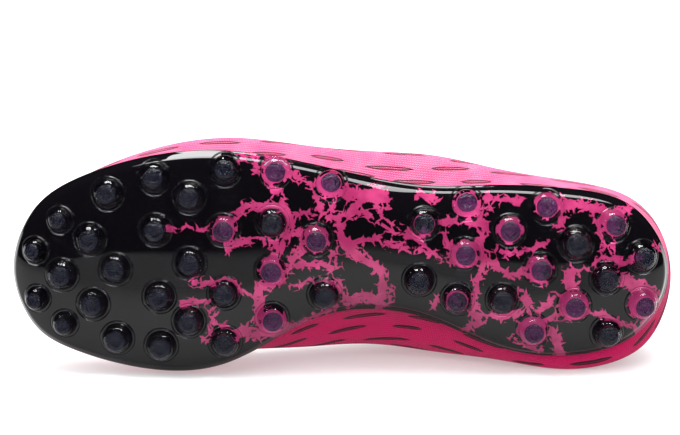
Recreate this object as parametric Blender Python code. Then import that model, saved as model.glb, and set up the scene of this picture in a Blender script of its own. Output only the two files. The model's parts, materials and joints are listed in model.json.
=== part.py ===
"""A knitted soccer cleat for the left foot, lying on its medial side.

The shoe is modelled standing: x runs forward from the heel, y is positive on the
lateral side, z is up from the stud tips. One empty then lays it on its side, with
the sole facing -Y, the toe at -X and the lateral side up.
All lengths are in metres.
"""

import math

import bmesh
import bpy
import numpy as np
from mathutils import Matrix, Vector
from mathutils.bvhtree import BVHTree

# Driving sizes of the last
LENGTH = 0.286
BALL_WIDTH = 0.098
INSTEP_HEIGHT = 0.070

# How the underside lifts off a flat floor
TOE_SPRING = 0.013
ARCH_RISE = 0.0018
HEEL_SPRING = 0.0024
CUP_RISE = 0.005
EDGE_RISE = 0.002

# Walls and clearances
UPPER_WALL = 0.0024
PLATE_WALL = 0.0022
INSOLE_WALL = 0.0024
TONGUE_WALL = 0.003
GAP = 0.0003
TONGUE_GAP = 0.0009
LACE_GAP = 0.0008

# Studs
STUD_HEIGHT = 0.0085
STUD_BASE_RADIUS = 0.0061
STUD_TIP_RADIUS = 0.0034
STUD_SEAT = 0.0012
STUD_LEAN = 0.3
STUD_SIDES = 12

# Tongue and lace
TONGUE_LAP = 0.008
TONGUE_FREE_LENGTH = 0.028
TONGUE_TOP_WIDTH = 0.046
LACE_WIDTH = 0.006
LACE_WALL = 0.0013
LACE_STEP = 0.0006
LACE_END = 0.003
EYELET_INSET = 0.009
EYELET_PAIRS = 5

# Facets round the shoe and along a stretch of lace
AROUND = 64
LACE_STATIONS = 7
TONGUE_POINTS = 7

# The lines that run round the shoe, from the toe tip along the lateral side to the heel
# back, and home along the medial side. A row is one rib. x is a share of LENGTH, y of half
# the BALL_WIDTH and z of INSTEP_HEIGHT, above the footbed.
# Edge of the sole: x, lateral y, medial y
SOLE_EDGE = (
    (0.990, 0.000, 0.000),    # toe tip
    (0.966, 0.435, -0.429),   # toe corner
    (0.916, 0.698, -0.641),   # toe side
    (0.836, 0.882, -0.780),   # toe joint
    (0.745, 0.992, -0.837),   # ball
    (0.654, 0.996, -0.710),   # forefoot
    (0.556, 0.902, -0.380),   # midfoot
    (0.458, 0.769, -0.265),   # waist
    (0.360, 0.690, -0.371),   # arch
    (0.262, 0.702, -0.616),   # quarter
    (0.164, 0.673, -0.692),   # heel front
    (0.084, 0.571, -0.584),   # heel side
    (0.037, 0.306, -0.327),   # heel corner
    (0.020, -0.004, -0.004),  # heel back
)
# Widest line of the wall: x, lateral y and z, medial y and z
BULGE = (
    (0.994, 0.000, 0.186, 0.000, 0.186),
    (0.971, 0.439, 0.200, -0.429, 0.200),
    (0.921, 0.718, 0.214, -0.653, 0.214),
    (0.839, 0.953, 0.229, -0.767, 0.243),
    (0.748, 1.110, 0.243, -0.816, 0.257),
    (0.654, 1.151, 0.257, -0.745, 0.293),
    (0.556, 1.080, 0.279, -0.722, 0.357),
    (0.458, 1.024, 0.307, -0.706, 0.414),
    (0.360, 0.984, 0.321, -0.780, 0.414),
    (0.262, 0.869, 0.321, -0.812, 0.250),
    (0.164, 0.776, 0.314, -0.873, 0.179),
    (0.077, 0.657, 0.307, -0.788, 0.186),
    (0.022, 0.378, 0.300, -0.557, 0.286),
    (-0.001, -0.088, 0.329, -0.088, 0.329),
)
# Where the wall turns over the toes and the instep, and the hollow above the heel
SHOULDER = (
    (0.937, 0.010, 0.386, 0.010, 0.386),
    (0.918, 0.276, 0.386, -0.255, 0.393),
    (0.874, 0.510, 0.393, -0.459, 0.407),
    (0.801, 0.694, 0.421, -0.602, 0.464),
    (0.717, 0.827, 0.471, -0.653, 0.543),
    (0.626, 0.888, 0.529, -0.643, 0.621),
    (0.535, 0.878, 0.579, -0.643, 0.686),
    (0.444, 0.847, 0.600, -0.714, 0.721),
    (0.353, 0.827, 0.600, -0.759, 0.729),
    (0.259, 0.765, 0.557, -0.751, 0.600),
    (0.161, 0.714, 0.514, -0.727, 0.529),
    (0.077, 0.592, 0.521, -0.661, 0.514),
    (0.026, 0.306, 0.550, -0.459, 0.550),
    (0.006, -0.073, 0.571, -0.073, 0.571),
)
# Vamp, eyestay and padded collar, a little below the opening
CROWN = (
    (0.783, 0.020, 0.529, 0.020, 0.529),
    (0.773, 0.194, 0.529, -0.163, 0.543),
    (0.741, 0.347, 0.543, -0.276, 0.564),
    (0.689, 0.449, 0.586, -0.337, 0.629),
    (0.622, 0.531, 0.650, -0.388, 0.707),
    (0.549, 0.602, 0.714, -0.449, 0.786),
    (0.476, 0.622, 0.779, -0.520, 0.857),
    (0.402, 0.633, 0.821, -0.633, 0.900),
    (0.325, 0.673, 0.771, -0.739, 0.857),
    (0.241, 0.673, 0.679, -0.727, 0.729),
    (0.154, 0.643, 0.650, -0.706, 0.664),
    (0.075, 0.520, 0.686, -0.653, 0.686),
    (0.031, 0.255, 0.743, -0.408, 0.743),
    (0.017, -0.078, 0.771, -0.078, 0.771),
)
# Rim of the throat and of the collar
OPENING = (
    (0.622, 0.031, 0.679, 0.031, 0.679),
    (0.615, 0.122, 0.686, -0.061, 0.686),
    (0.594, 0.194, 0.707, -0.122, 0.714),
    (0.563, 0.241, 0.750, -0.163, 0.757),
    (0.524, 0.271, 0.807, -0.194, 0.814),
    (0.479, 0.302, 0.871, -0.235, 0.886),
    (0.427, 0.337, 0.936, -0.286, 0.957),
    (0.371, 0.408, 0.971, -0.388, 1.000),
    (0.304, 0.531, 0.871, -0.582, 0.921),
    (0.227, 0.571, 0.757, -0.698, 0.800),
    (0.147, 0.541, 0.729, -0.690, 0.743),
    (0.079, 0.418, 0.793, -0.576, 0.793),
    (0.040, 0.194, 0.879, -0.347, 0.879),
    (0.026, -0.082, 0.921, -0.082, 0.921),
)
RIBS = 2 * (len(SOLE_EDGE) - 1)
EYELET_ACROSS = 2.0  # eyelets on the eyestay, counted across as instep() does
FIRST_EYELET_RIB = 2.3
LAST_EYELET_RIB = 6.9
TONGUE_TOE_RIB = 1.2

# Shares of the way from the spine of the sole to its edge
FLANGE_EDGE = 0.72
MARGIN_PLAY = 0.02
INSOLE_EDGE = 0.9
SOLE_RINGS = (0.0, 0.35, 0.58, FLANGE_EDGE, 0.86, 0.96)
SPINE_SHARE = 0.84

# Lines across the wall, counted from the edge of the sole: 0 edge, 1 bulge, 2 shoulder,
# 3 crown and 4 opening
RIM = 0.2
WALL_LINES = (0.0, RIM, 0.6, 1.0, 1.5, 2.0, 2.35, 2.7, 3.0, 3.5, 4.0)

# Stud centres: x share of LENGTH, y share of half the BALL_WIDTH from the middle of the
# heel, and size against a plain stud
SMALL, PLAIN, LARGE = 0.8, 1.0, 1.1
STUDS = (
    # toe
    (0.962, 0.178, SMALL), (0.960, -0.244, SMALL),
    (0.924, 0.453, SMALL), (0.921, -0.027, PLAIN), (0.918, -0.459, SMALL),
    (0.878, 0.292, PLAIN), (0.874, -0.278, PLAIN),
    (0.851, 0.689, PLAIN), (0.840, 0.034, PLAIN), (0.838, -0.581, PLAIN),
    # ball
    (0.781, 0.832, PLAIN), (0.779, 0.380, PLAIN), (0.774, -0.203, PLAIN), (0.772, -0.640, PLAIN),
    (0.728, 0.667, PLAIN), (0.728, 0.092, PLAIN), (0.730, -0.420, PLAIN),
    (0.675, 0.902, PLAIN), (0.677, 0.384, PLAIN), (0.677, -0.170, PLAIN), (0.676, -0.601, PLAIN),
    # forefoot behind the ball
    (0.600, 0.890, PLAIN), (0.605, 0.451, PLAIN), (0.606, 0.028, PLAIN), (0.605, -0.395, PLAIN),
    (0.518, 0.777, PLAIN), (0.539, 0.298, PLAIN), (0.527, -0.184, PLAIN),
    # waist
    (0.378, 0.440, PLAIN), (0.385, -0.058, PLAIN),
    # heel
    (0.314, 0.607, PLAIN), (0.316, 0.176, PLAIN), (0.328, -0.226, PLAIN),
    (0.250, 0.381, PLAIN), (0.260, -0.224, PLAIN),
    (0.195, 0.578, PLAIN), (0.204, 0.045, PLAIN), (0.214, -0.499, PLAIN),
    (0.151, 0.265, LARGE), (0.153, -0.277, PLAIN),
    (0.094, 0.424, PLAIN), (0.105, -0.037, PLAIN), (0.103, -0.522, PLAIN),
    (0.052, 0.145, PLAIN), (0.051, -0.272, PLAIN),
)

# Zones that touch the floor when the shoe lies on its medial side, as x shares of LENGTH
# and z shares of INSTEP_HEIGHT: forefoot, heel, and instep or collar
FLOOR_ZONES = (
    ((0.60, 1.00), (0.00, 0.70)),
    ((0.00, 0.30), (0.00, 0.70)),
    ((0.20, 0.60), (0.75, 1.40)),
)


def clear_scene():
    """Take every object of the start-up file away."""
    for thing in list(bpy.data.objects):
        bpy.data.objects.remove(thing, do_unlink=True)


def material(name, colour, roughness, metallic=0.0):
    """A plain Principled material."""
    made = bpy.data.materials.new(name)
    made.use_nodes = True
    shader = made.node_tree.nodes["Principled BSDF"]
    shader.inputs["Base Color"].default_value = (*colour, 1.0)
    shader.inputs["Roughness"].default_value = roughness
    shader.inputs["Metallic"].default_value = metallic
    return made


def loft(name, rings, finish, join_ends=False, cap_ends=False):
    """A closed solid from rings of points, given as an array of rings by points by 3."""
    ring_count, point_count = rings.shape[:2]
    index = np.arange(ring_count * point_count).reshape(ring_count, point_count)
    low = index if join_ends else index[:-1]
    high = np.roll(index, -1, axis=0) if join_ends else index[1:]
    faces = np.stack([low, high, np.roll(high, -1, axis=1), np.roll(low, -1, axis=1)], axis=-1)
    faces = faces.reshape(-1, 4).tolist()
    if cap_ends:
        faces.append(index[0].tolist())
        faces.append(index[-1].tolist())
    mesh = bpy.data.meshes.new(name)
    mesh.from_pydata(rings.reshape(-1, 3).tolist(), [], faces)
    work = bmesh.new()
    work.from_mesh(mesh)
    bmesh.ops.remove_doubles(work, verts=work.verts, dist=1e-7)
    bmesh.ops.dissolve_degenerate(work, edges=work.edges, dist=1e-7)
    bmesh.ops.triangulate(work, faces=work.faces)
    bmesh.ops.recalc_face_normals(work, faces=work.faces)
    work.to_mesh(mesh)
    work.free()
    mesh.shade_smooth()
    mesh.set_sharp_from_angle(angle=math.radians(40))
    made = bpy.data.objects.new(name, mesh)
    bpy.context.collection.objects.link(made)
    made.data.materials.append(finish)
    return made


def fuse(target, tools):
    """Join each tool to the target with one exact union and remove the tools."""
    for tool in tools:
        union = target.modifiers.new("union", "BOOLEAN")
        union.operation = "UNION"
        union.solver = "EXACT"
        union.object = tool
    bpy.context.view_layer.update()
    graph = bpy.context.evaluated_depsgraph_get()
    mesh = bpy.data.meshes.new_from_object(target.evaluated_get(graph), depsgraph=graph)
    target.modifiers.clear()
    target.data = mesh
    for tool in tools:
        bpy.data.objects.remove(tool, do_unlink=True)
    return target


def underside(x):
    """Height of the sole's lowest line above the stud tips, from heel spring to toe spring."""
    share = x / LENGTH
    toe = TOE_SPRING * np.clip((share - 0.62) / 0.38, 0.0, None) ** 2.2
    arch = ARCH_RISE * np.sin(math.pi * np.clip((share - 0.2) / 0.4, 0.0, 1.0)) ** 2
    heel = HEEL_SPRING * np.clip((0.12 - share) / 0.12, 0.0, None) ** 2
    return STUD_HEIGHT + toe + arch + heel


def footbed(x):
    """Height of the underside of the upper, which the plate carries."""
    return underside(x) + PLATE_WALL + GAP


def closed_spline(knots, where):
    """Points of the closed cubic spline through the knots, at the given knot numbers."""
    count = len(knots)
    step = np.eye(count)
    band = 4 * step + np.roll(step, 1, axis=0) + np.roll(step, -1, axis=0)
    bend = 6 * (np.roll(knots, -1, axis=0) - 2 * knots + np.roll(knots, 1, axis=0))
    bend = np.linalg.solve(band, bend)
    start = np.floor(where).astype(int)
    t = (where - start)[:, None]
    a, b = start % count, (start + 1) % count
    return ((1 - t) * knots[a] + t * knots[b]
            + ((1 - t) ** 3 - (1 - t)) * bend[a] / 6 + (t ** 3 - t) * bend[b] / 6)


def line_knots(table):
    """The knots of one line round the shoe: lateral ribs, then medial ribs on the way home."""
    rows = np.array(table)
    if rows.shape[1] == 3:
        lateral, medial = rows[:, (0, 1)], rows[:, (0, 2)]
        lift = (CUP_RISE + EDGE_RISE) / INSTEP_HEIGHT
        lateral = np.column_stack([lateral, np.full(len(rows), lift)])
        medial = np.column_stack([medial, np.full(len(rows), lift)])
    else:
        lateral, medial = rows[:, (0, 1, 2)], rows[:, (0, 3, 4)]
    knots = np.concatenate([lateral, medial[-2:0:-1]])
    return knots * (LENGTH, BALL_WIDTH / 2, INSTEP_HEIGHT)


def round_lines(ribs):
    """The five lines of the wall at the given ribs, as an array of lines by ribs by 3."""
    lines = []
    for table in (SOLE_EDGE, BULGE, SHOULDER, CROWN, OPENING):
        line = closed_spline(line_knots(table), ribs)
        line[:, 2] += footbed(line[:, 0])
        lines.append(line)
    return np.array(lines)


def sole_rings(ribs, shares):
    """Rings of the underside: each share of the way from the spine to the edge."""
    edge = round_lines(ribs)[0]
    across = round_lines((RIBS - ribs) % RIBS)[0]
    spine = (edge + across) / 2
    middle = LENGTH / 2
    spine[:, 0] = middle + SPINE_SHARE * (spine[:, 0] - middle)
    rings = []
    for share in shares:
        ring = spine + share * (edge - spine)
        ring[:, 2] = footbed(ring[:, 0]) + CUP_RISE * share ** 4
        rings.append(ring)
    return np.array(rings)


def across_wall(lines, place):
    """One line across the wall, at a place counted in lines. place is a number or an array."""
    spans = np.linalg.norm(np.diff(lines, axis=0), axis=2)[:, :, None]
    slopes = np.diff(lines, axis=0) / spans
    inner = (slopes[:-1] * spans[1:] + slopes[1:] * spans[:-1]) / (spans[1:] + spans[:-1])
    tangents = np.concatenate([slopes[:1], inner, slopes[-1:]])
    place = np.broadcast_to(place, lines.shape[1])
    start = np.clip(np.floor(place).astype(int), 0, len(lines) - 2)
    rib = np.arange(lines.shape[1])
    t = (place - start)[:, None]
    span = spans[start, rib]
    return ((2 * t ** 3 - 3 * t ** 2 + 1) * lines[start, rib]
            + (t ** 3 - 2 * t ** 2 + t) * span * tangents[start, rib]
            + (3 * t ** 2 - 2 * t ** 3) * lines[start + 1, rib]
            + (t ** 3 - t ** 2) * span * tangents[start + 1, rib])


def last_surface(ribs):
    """The upper's outer surface, from the spine of the sole to the opening."""
    rings = sole_rings(ribs, SOLE_RINGS)
    foot = rings[-1:]
    lines = np.concatenate([foot, round_lines(ribs)])
    wall = np.array([across_wall(lines, 1 + place) for place in WALL_LINES])
    return np.concatenate([rings, wall])


def outward(surface):
    """Unit normals of a surface given as lines by points, pointing out of the foot."""
    along = np.roll(surface, -1, axis=1) - np.roll(surface, 1, axis=1)
    across = np.gradient(surface, axis=0)
    normals = np.cross(along, across)
    normals[0] = (0.0, 0.0, -1.0)
    return normals / np.linalg.norm(normals, axis=2, keepdims=True)


def build_upper(surface, normals, finish):
    """A hollow wall from the turned-in margin under the foot up to the opening."""
    first = SOLE_RINGS.index(FLANGE_EDGE)
    outer = surface[first:]
    inner = outer - UPPER_WALL * normals[first:]
    return loft("upper", np.concatenate([outer, inner[::-1]]), finish, join_ends=True)


def build_plate(surface, normals, finish):
    """The moulded plate, cupped round the upper up to the rim, without its studs."""
    last = len(SOLE_RINGS) + WALL_LINES.index(RIM) + 1
    inner = surface[:last] + GAP * normals[:last]
    outer = surface[:last] + (GAP + PLATE_WALL) * normals[:last]
    return loft("outsole", np.concatenate([inner, outer[::-1]]), finish)


def stud_rings(seat, normal, size):
    """Two rings of a tapered stud: one sunk into the plate, one at the flat tip.

    The foot lies square to the plate. The axis follows only STUD_LEAN of the plate's slope,
    because the whole sole leaves its mould straight down.
    """
    down = np.array((0.0, 0.0, -1.0))
    axis = down + STUD_LEAN * (normal - down)
    axis /= np.linalg.norm(axis)
    turn = np.arange(STUD_SIDES) * 2 * math.pi / STUD_SIDES
    rings = []
    for facing, height, radius in ((normal, -STUD_SEAT, STUD_BASE_RADIUS),
                                   (axis, STUD_HEIGHT, STUD_TIP_RADIUS)):
        side = np.cross(facing, (0.0, 1.0, 0.0))
        side /= np.linalg.norm(side)
        other = np.cross(facing, side)
        circle = np.cos(turn)[:, None] * side + np.sin(turn)[:, None] * other
        rings.append(seat + height * facing + radius * size * circle)
    return np.array(rings)


def build_studs(plate, finish):
    """A stud at each place of the table, standing on the plate."""
    mesh = plate.data
    tree = BVHTree.FromPolygons([v.co for v in mesh.vertices], [p.vertices for p in mesh.polygons])
    studs = []
    for number, (x_share, y_share, size) in enumerate(STUDS):
        start = Vector((x_share * LENGTH, y_share * BALL_WIDTH / 2, -LENGTH))
        seat, normal, _, _ = tree.ray_cast(start, Vector((0.0, 0.0, 1.0)))
        rings = stud_rings(np.array(seat), np.array(normal), size)
        studs.append(loft(f"stud_{number}", rings, finish, cap_ends=True))
    return studs


def build_insole(finish, ribs):
    """A footbed that lies on the turned-in margin and fills the space inside it."""
    shares = np.array((0.0, 0.35, FLANGE_EDGE - MARGIN_PLAY, INSOLE_EDGE))
    floor = sole_rings(ribs, shares)
    normals = outward(floor)
    on_margin = UPPER_WALL + GAP
    top = floor - (on_margin + INSOLE_WALL) * normals
    ledge = floor[2:] - on_margin * normals[2:]
    return loft("insole", np.concatenate([floor[:3], ledge, top[::-1]]), finish)


def instep(ribs, across):
    """Points of the instep, bridging the throat.

    ribs are lateral rib numbers. across runs from 1 at the lateral rim of the throat to -1
    at the medial rim, and beyond them it goes down the eyestay, one EYELET_INSET a unit.
    """
    sides = []
    for facing in (ribs, RIBS - ribs):
        lines = round_lines(facing % RIBS)
        down = np.clip(np.abs(across) - 1.0, 0.0, None) * EYELET_INSET
        reach = np.linalg.norm(lines[4] - lines[3], axis=1)
        point = across_wall(lines, 4 - down / reach)
        near = across_wall(lines, 4 - 0.001 / reach)
        slope = lines[4] - near
        slope /= np.linalg.norm(slope, axis=1)[:, None]
        sides.append((point, lines[4], slope))
    (lateral, rim_a, slope_a), (medial, rim_b, slope_b) = sides
    width = np.linalg.norm(rim_a - rim_b, axis=1)[:, None]
    t = np.clip((1.0 - across) / 2, 0.0, 1.0)[:, None]
    bridge = ((2 * t ** 3 - 3 * t ** 2 + 1) * rim_a + (t ** 3 - 2 * t ** 2 + t) * width * slope_a
              + (3 * t ** 2 - 2 * t ** 3) * rim_b - (t ** 3 - t ** 2) * width * slope_b)
    bridge = np.where((across >= 1.0)[:, None], lateral, bridge)
    return np.where((across <= -1.0)[:, None], medial, bridge)


def instep_normals(ribs, across):
    """Unit normals of the instep, pointing up and out."""
    step = 0.02
    along = instep(ribs + step, across) - instep(ribs - step, across)
    over = instep(ribs, across + step) - instep(ribs, across - step)
    normals = np.cross(along, over)
    normals *= np.sign(normals[:, 2:3])
    return normals / np.linalg.norm(normals, axis=1, keepdims=True)


def build_tongue(finish):
    """A padded strip under the eyestays that stands free above the top eyelets."""
    width_steps = np.linspace(1.0, -1.0, TONGUE_POINTS)
    stations = []
    for rib in np.linspace(TONGUE_TOE_RIB, LAST_EYELET_RIB, 10):
        from_top = (LAST_EYELET_RIB - rib) / (LAST_EYELET_RIB - TONGUE_TOE_RIB)
        lap = TONGUE_LAP * min(1.0, 4 * from_top) / EYELET_INSET
        inset = 0.15 * max(0.0, 1 - 4 * from_top)
        across = width_steps * (1.0 + lap - inset)
        ribs = np.full(len(across), rib)
        skin = instep(ribs, across)
        normals = instep_normals(ribs, across)
        top = skin - (UPPER_WALL + TONGUE_GAP) * normals
        stations.append(np.concatenate([top, (top - TONGUE_WALL * normals)[::-1]]))
    last, before = stations[-1], stations[-2]
    way = last.mean(axis=0) - before.mean(axis=0)
    way /= np.linalg.norm(way)
    middle = last.mean(axis=0)
    widening = TONGUE_TOP_WIDTH / np.ptp(last[:, 1])
    for share in np.linspace(0.2, 1.0, 5):
        lean = way + share * np.array((0.10, 0.0, 0.60))
        lean /= np.linalg.norm(lean)
        spread = np.array((1.0, 1 + (widening - 1) * min(1.0, 1.6 * share), 1.0))
        moved = middle + (last - middle) * spread + TONGUE_FREE_LENGTH * share * lean
        stations.append(moved)
    return loft("tongue", np.array(stations), finish, cap_ends=True)


def lace_bar(name, start, end, lift, finish):
    """One flat stretch of lace between two eyelets, given as (rib, side)."""
    share = np.linspace(0.0, 1.0, LACE_STATIONS)
    ribs = start[0] + (end[0] - start[0]) * share
    overrun = EYELET_ACROSS + LACE_END / EYELET_INSET
    across = start[1] * overrun * (1 - 2 * share)
    path = instep(ribs, across)
    normals = instep_normals(ribs, across)
    along = np.gradient(path, axis=0)
    side = np.cross(normals, along)
    side /= np.linalg.norm(side, axis=1, keepdims=True)
    low, high = path + lift * normals, path + (lift + LACE_WALL) * normals
    half = LACE_WIDTH / 2 * side
    rings = np.stack([low - half, low + half, high + half, high - half], axis=1)
    return loft(name, rings, finish, cap_ends=True)


def build_lace(finish):
    """A bar at the toe end and crossings up to the top eyelets, joined into one piece."""
    ribs = np.linspace(FIRST_EYELET_RIB, LAST_EYELET_RIB, EYELET_PAIRS)
    bars = [lace_bar("lace", (ribs[0], 1), (ribs[0], -1), LACE_GAP, finish)]
    for number, (rib, above) in enumerate(zip(ribs[:-1], ribs[1:])):
        bars.append(lace_bar(f"cross_{number}", (rib, 1), (above, -1), LACE_GAP, finish))
        over = LACE_GAP + LACE_STEP
        bars.append(lace_bar(f"back_{number}", (rib, -1), (above, 1), over, finish))
    return fuse(bars[0], bars[1:])


def floor_plane(points):
    """Slopes of the floor under the medial side, which touches all three zones.

    The floor is y = level + forward * x + upward * z, and every point lies above it.
    """
    shares_x = points[:, 0] / LENGTH
    shares_z = (points[:, 2] - STUD_HEIGHT) / INSTEP_HEIGHT
    zones = []
    for (x_low, x_high), (z_low, z_high) in FLOOR_ZONES:
        inside = (shares_x >= x_low) & (shares_x <= x_high) & (shares_z >= z_low)
        zones.append(points[inside & (shares_z <= z_high)])
    forward, upward = 0.0, 0.1
    for _ in range(12):
        lowest = [zone[np.argmin(zone @ (-forward, 1.0, -upward))] for zone in zones]
        system = np.array([(1.0, point[0], point[2]) for point in lowest])
        _, forward, upward = np.linalg.solve(system, [point[1] for point in lowest])
    return forward, upward


def lay_down(pieces):
    """Lay the shoe on its medial side, its origin under the middle of its box."""
    points = np.array([v.co for piece in pieces for v in piece.data.vertices])
    forward, upward = floor_plane(points)
    up = np.array((-forward, 1.0, -upward))
    up /= np.linalg.norm(up)
    toe_to_heel = np.array((-1.0, 0.0, 0.0))
    toe_to_heel -= up * (toe_to_heel @ up)
    toe_to_heel /= np.linalg.norm(toe_to_heel)
    turn = np.array((toe_to_heel, np.cross(up, toe_to_heel), up))
    laid = points @ turn.T
    low, high = laid.min(axis=0), laid.max(axis=0)
    origin = np.array(((low[0] + high[0]) / 2, (low[1] + high[1]) / 2, low[2]))
    stance = bpy.data.objects.new("stance", None)
    bpy.context.collection.objects.link(stance)
    stance.matrix_world = Matrix.Translation(Vector(-origin)) @ Matrix(turn.tolist()).to_4x4()
    for piece in pieces:
        piece.parent = stance
    bpy.context.view_layer.update()
    print("lean %.3f tilt %.3f degrees" % (math.degrees(math.asin(-up[2])),
                                           math.degrees(math.asin(-up[0]))))
    print("origin", origin.round(5), "size", (high - low).round(4))


def build():
    """Model every piece and lay the shoe down."""
    clear_scene()
    knit = material("pink_knit", (0.85, 0.05, 0.28), 0.75)
    film = material("marbled_film", (0.03, 0.02, 0.03), 0.15)
    foam = material("footbed", (0.03, 0.03, 0.035), 0.9)
    lining = material("tongue_knit", (0.80, 0.06, 0.30), 0.8)
    cord = material("lace_weave", (0.03, 0.03, 0.03), 0.7)

    ribs = np.arange(AROUND) * RIBS / AROUND
    surface = last_surface(ribs)
    normals = outward(surface)
    upper = build_upper(surface, normals, knit)
    plate = build_plate(surface, normals, film)
    outsole = fuse(plate, build_studs(plate, film))
    insole = build_insole(foam, ribs)
    tongue = build_tongue(lining)
    lace = build_lace(cord)
    lay_down([outsole, upper, insole, tongue, lace])


build()
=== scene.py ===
# %% [markdown]
# # A knitted soccer cleat, lying on its side
#
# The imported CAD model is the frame: a left shoe on its medial side, with the sole facing
# -Y, the toe at -X and the lateral side up. This lesson dresses it. Each solid is replaced
# by a finer surface worked out from the same lines, so that the dressed shoe and the
# measured one share every outline.

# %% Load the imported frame
import json
import math

import bmesh
import bpy
import numpy as np
from mathutils import Matrix, Vector
from mathutils.bvhtree import BVHTree

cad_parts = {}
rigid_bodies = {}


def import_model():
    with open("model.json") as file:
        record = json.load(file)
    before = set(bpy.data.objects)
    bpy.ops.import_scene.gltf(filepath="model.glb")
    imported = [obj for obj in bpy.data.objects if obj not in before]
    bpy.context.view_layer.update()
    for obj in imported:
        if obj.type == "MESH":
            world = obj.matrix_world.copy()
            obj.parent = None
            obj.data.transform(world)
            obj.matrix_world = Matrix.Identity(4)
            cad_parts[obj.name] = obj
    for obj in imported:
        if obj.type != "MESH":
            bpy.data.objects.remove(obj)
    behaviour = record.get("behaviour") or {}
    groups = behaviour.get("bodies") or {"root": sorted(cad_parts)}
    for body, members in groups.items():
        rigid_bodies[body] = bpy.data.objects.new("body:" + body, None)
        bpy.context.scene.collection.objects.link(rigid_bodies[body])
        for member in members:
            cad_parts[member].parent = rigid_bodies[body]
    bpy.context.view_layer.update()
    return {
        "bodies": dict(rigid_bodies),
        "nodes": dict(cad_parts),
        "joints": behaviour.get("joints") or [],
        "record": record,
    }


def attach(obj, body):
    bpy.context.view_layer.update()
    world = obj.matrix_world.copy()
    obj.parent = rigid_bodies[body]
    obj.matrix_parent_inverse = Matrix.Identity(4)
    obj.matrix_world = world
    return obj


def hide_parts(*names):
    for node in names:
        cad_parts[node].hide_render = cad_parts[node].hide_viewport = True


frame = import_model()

MM = 0.001

# %% [markdown]
# ## The lines of the last
#
# A cleat takes its shape from a last. Here the last is five closed lines that run round the
# shoe at chosen heights: the edge of the sole, the widest line, the shoulder, the crown and
# the opening. A row is one rib, from the toe tip to the heel back. The shares are the same
# as in the CAD source, and everything that shows is worked out from them.

# %% Driving sizes, in metres
LENGTH = 0.286
BALL_WIDTH = 0.098
INSTEP_HEIGHT = 0.070
TOE_SPRING = 0.013
ARCH_RISE = 0.0018
HEEL_SPRING = 0.0024
CUP_RISE = 0.005
EDGE_RISE = 0.002
UPPER_WALL = 0.0024
PLATE_WALL = 0.0022
INSOLE_WALL = 0.0024
TONGUE_WALL = 0.003
GAP = 0.0003
TONGUE_GAP = 0.0009
STUD_HEIGHT = 0.0085

# Edge of the sole: x, lateral y, medial y
SOLE_EDGE = (
    (0.990, 0.000, 0.000),    # toe tip
    (0.966, 0.435, -0.429),   # toe corner
    (0.916, 0.698, -0.641),   # toe side
    (0.836, 0.882, -0.780),   # toe joint
    (0.745, 0.992, -0.837),   # ball
    (0.654, 0.996, -0.710),   # forefoot
    (0.556, 0.902, -0.380),   # midfoot
    (0.458, 0.769, -0.265),   # waist
    (0.360, 0.690, -0.371),   # arch
    (0.262, 0.702, -0.616),   # quarter
    (0.164, 0.673, -0.692),   # heel front
    (0.084, 0.571, -0.584),   # heel side
    (0.037, 0.306, -0.327),   # heel corner
    (0.020, -0.004, -0.004),  # heel back
)
# Widest line of the wall: x, lateral y and z, medial y and z
BULGE = (
    (0.994, 0.000, 0.186, 0.000, 0.186),
    (0.971, 0.439, 0.200, -0.429, 0.200),
    (0.921, 0.718, 0.214, -0.653, 0.214),
    (0.839, 0.953, 0.229, -0.767, 0.243),
    (0.748, 1.110, 0.243, -0.816, 0.257),
    (0.654, 1.151, 0.257, -0.745, 0.293),
    (0.556, 1.080, 0.279, -0.722, 0.357),
    (0.458, 1.024, 0.307, -0.706, 0.414),
    (0.360, 0.984, 0.321, -0.780, 0.414),
    (0.262, 0.869, 0.321, -0.812, 0.250),
    (0.164, 0.776, 0.314, -0.873, 0.179),
    (0.077, 0.657, 0.307, -0.788, 0.186),
    (0.022, 0.378, 0.300, -0.557, 0.286),
    (-0.001, -0.088, 0.329, -0.088, 0.329),
)
# Where the wall turns over the toes and the instep, and the hollow above the heel
SHOULDER = (
    (0.937, 0.010, 0.386, 0.010, 0.386),
    (0.918, 0.276, 0.386, -0.255, 0.393),
    (0.874, 0.510, 0.393, -0.459, 0.407),
    (0.801, 0.694, 0.421, -0.602, 0.464),
    (0.717, 0.827, 0.471, -0.653, 0.543),
    (0.626, 0.888, 0.529, -0.643, 0.621),
    (0.535, 0.878, 0.579, -0.643, 0.686),
    (0.444, 0.847, 0.600, -0.714, 0.721),
    (0.353, 0.827, 0.600, -0.759, 0.729),
    (0.259, 0.765, 0.557, -0.751, 0.600),
    (0.161, 0.714, 0.514, -0.727, 0.529),
    (0.077, 0.592, 0.521, -0.661, 0.514),
    (0.026, 0.306, 0.550, -0.459, 0.550),
    (0.006, -0.073, 0.571, -0.073, 0.571),
)
# Vamp, eyestay and padded collar, a little below the opening
CROWN = (
    (0.783, 0.020, 0.529, 0.020, 0.529),
    (0.773, 0.194, 0.529, -0.163, 0.543),
    (0.741, 0.347, 0.543, -0.276, 0.564),
    (0.689, 0.449, 0.586, -0.337, 0.629),
    (0.622, 0.531, 0.650, -0.388, 0.707),
    (0.549, 0.602, 0.714, -0.449, 0.786),
    (0.476, 0.622, 0.779, -0.520, 0.857),
    (0.402, 0.633, 0.821, -0.633, 0.900),
    (0.325, 0.673, 0.771, -0.739, 0.857),
    (0.241, 0.673, 0.679, -0.727, 0.729),
    (0.154, 0.643, 0.650, -0.706, 0.664),
    (0.075, 0.520, 0.686, -0.653, 0.686),
    (0.031, 0.255, 0.743, -0.408, 0.743),
    (0.017, -0.078, 0.771, -0.078, 0.771),
)
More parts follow.
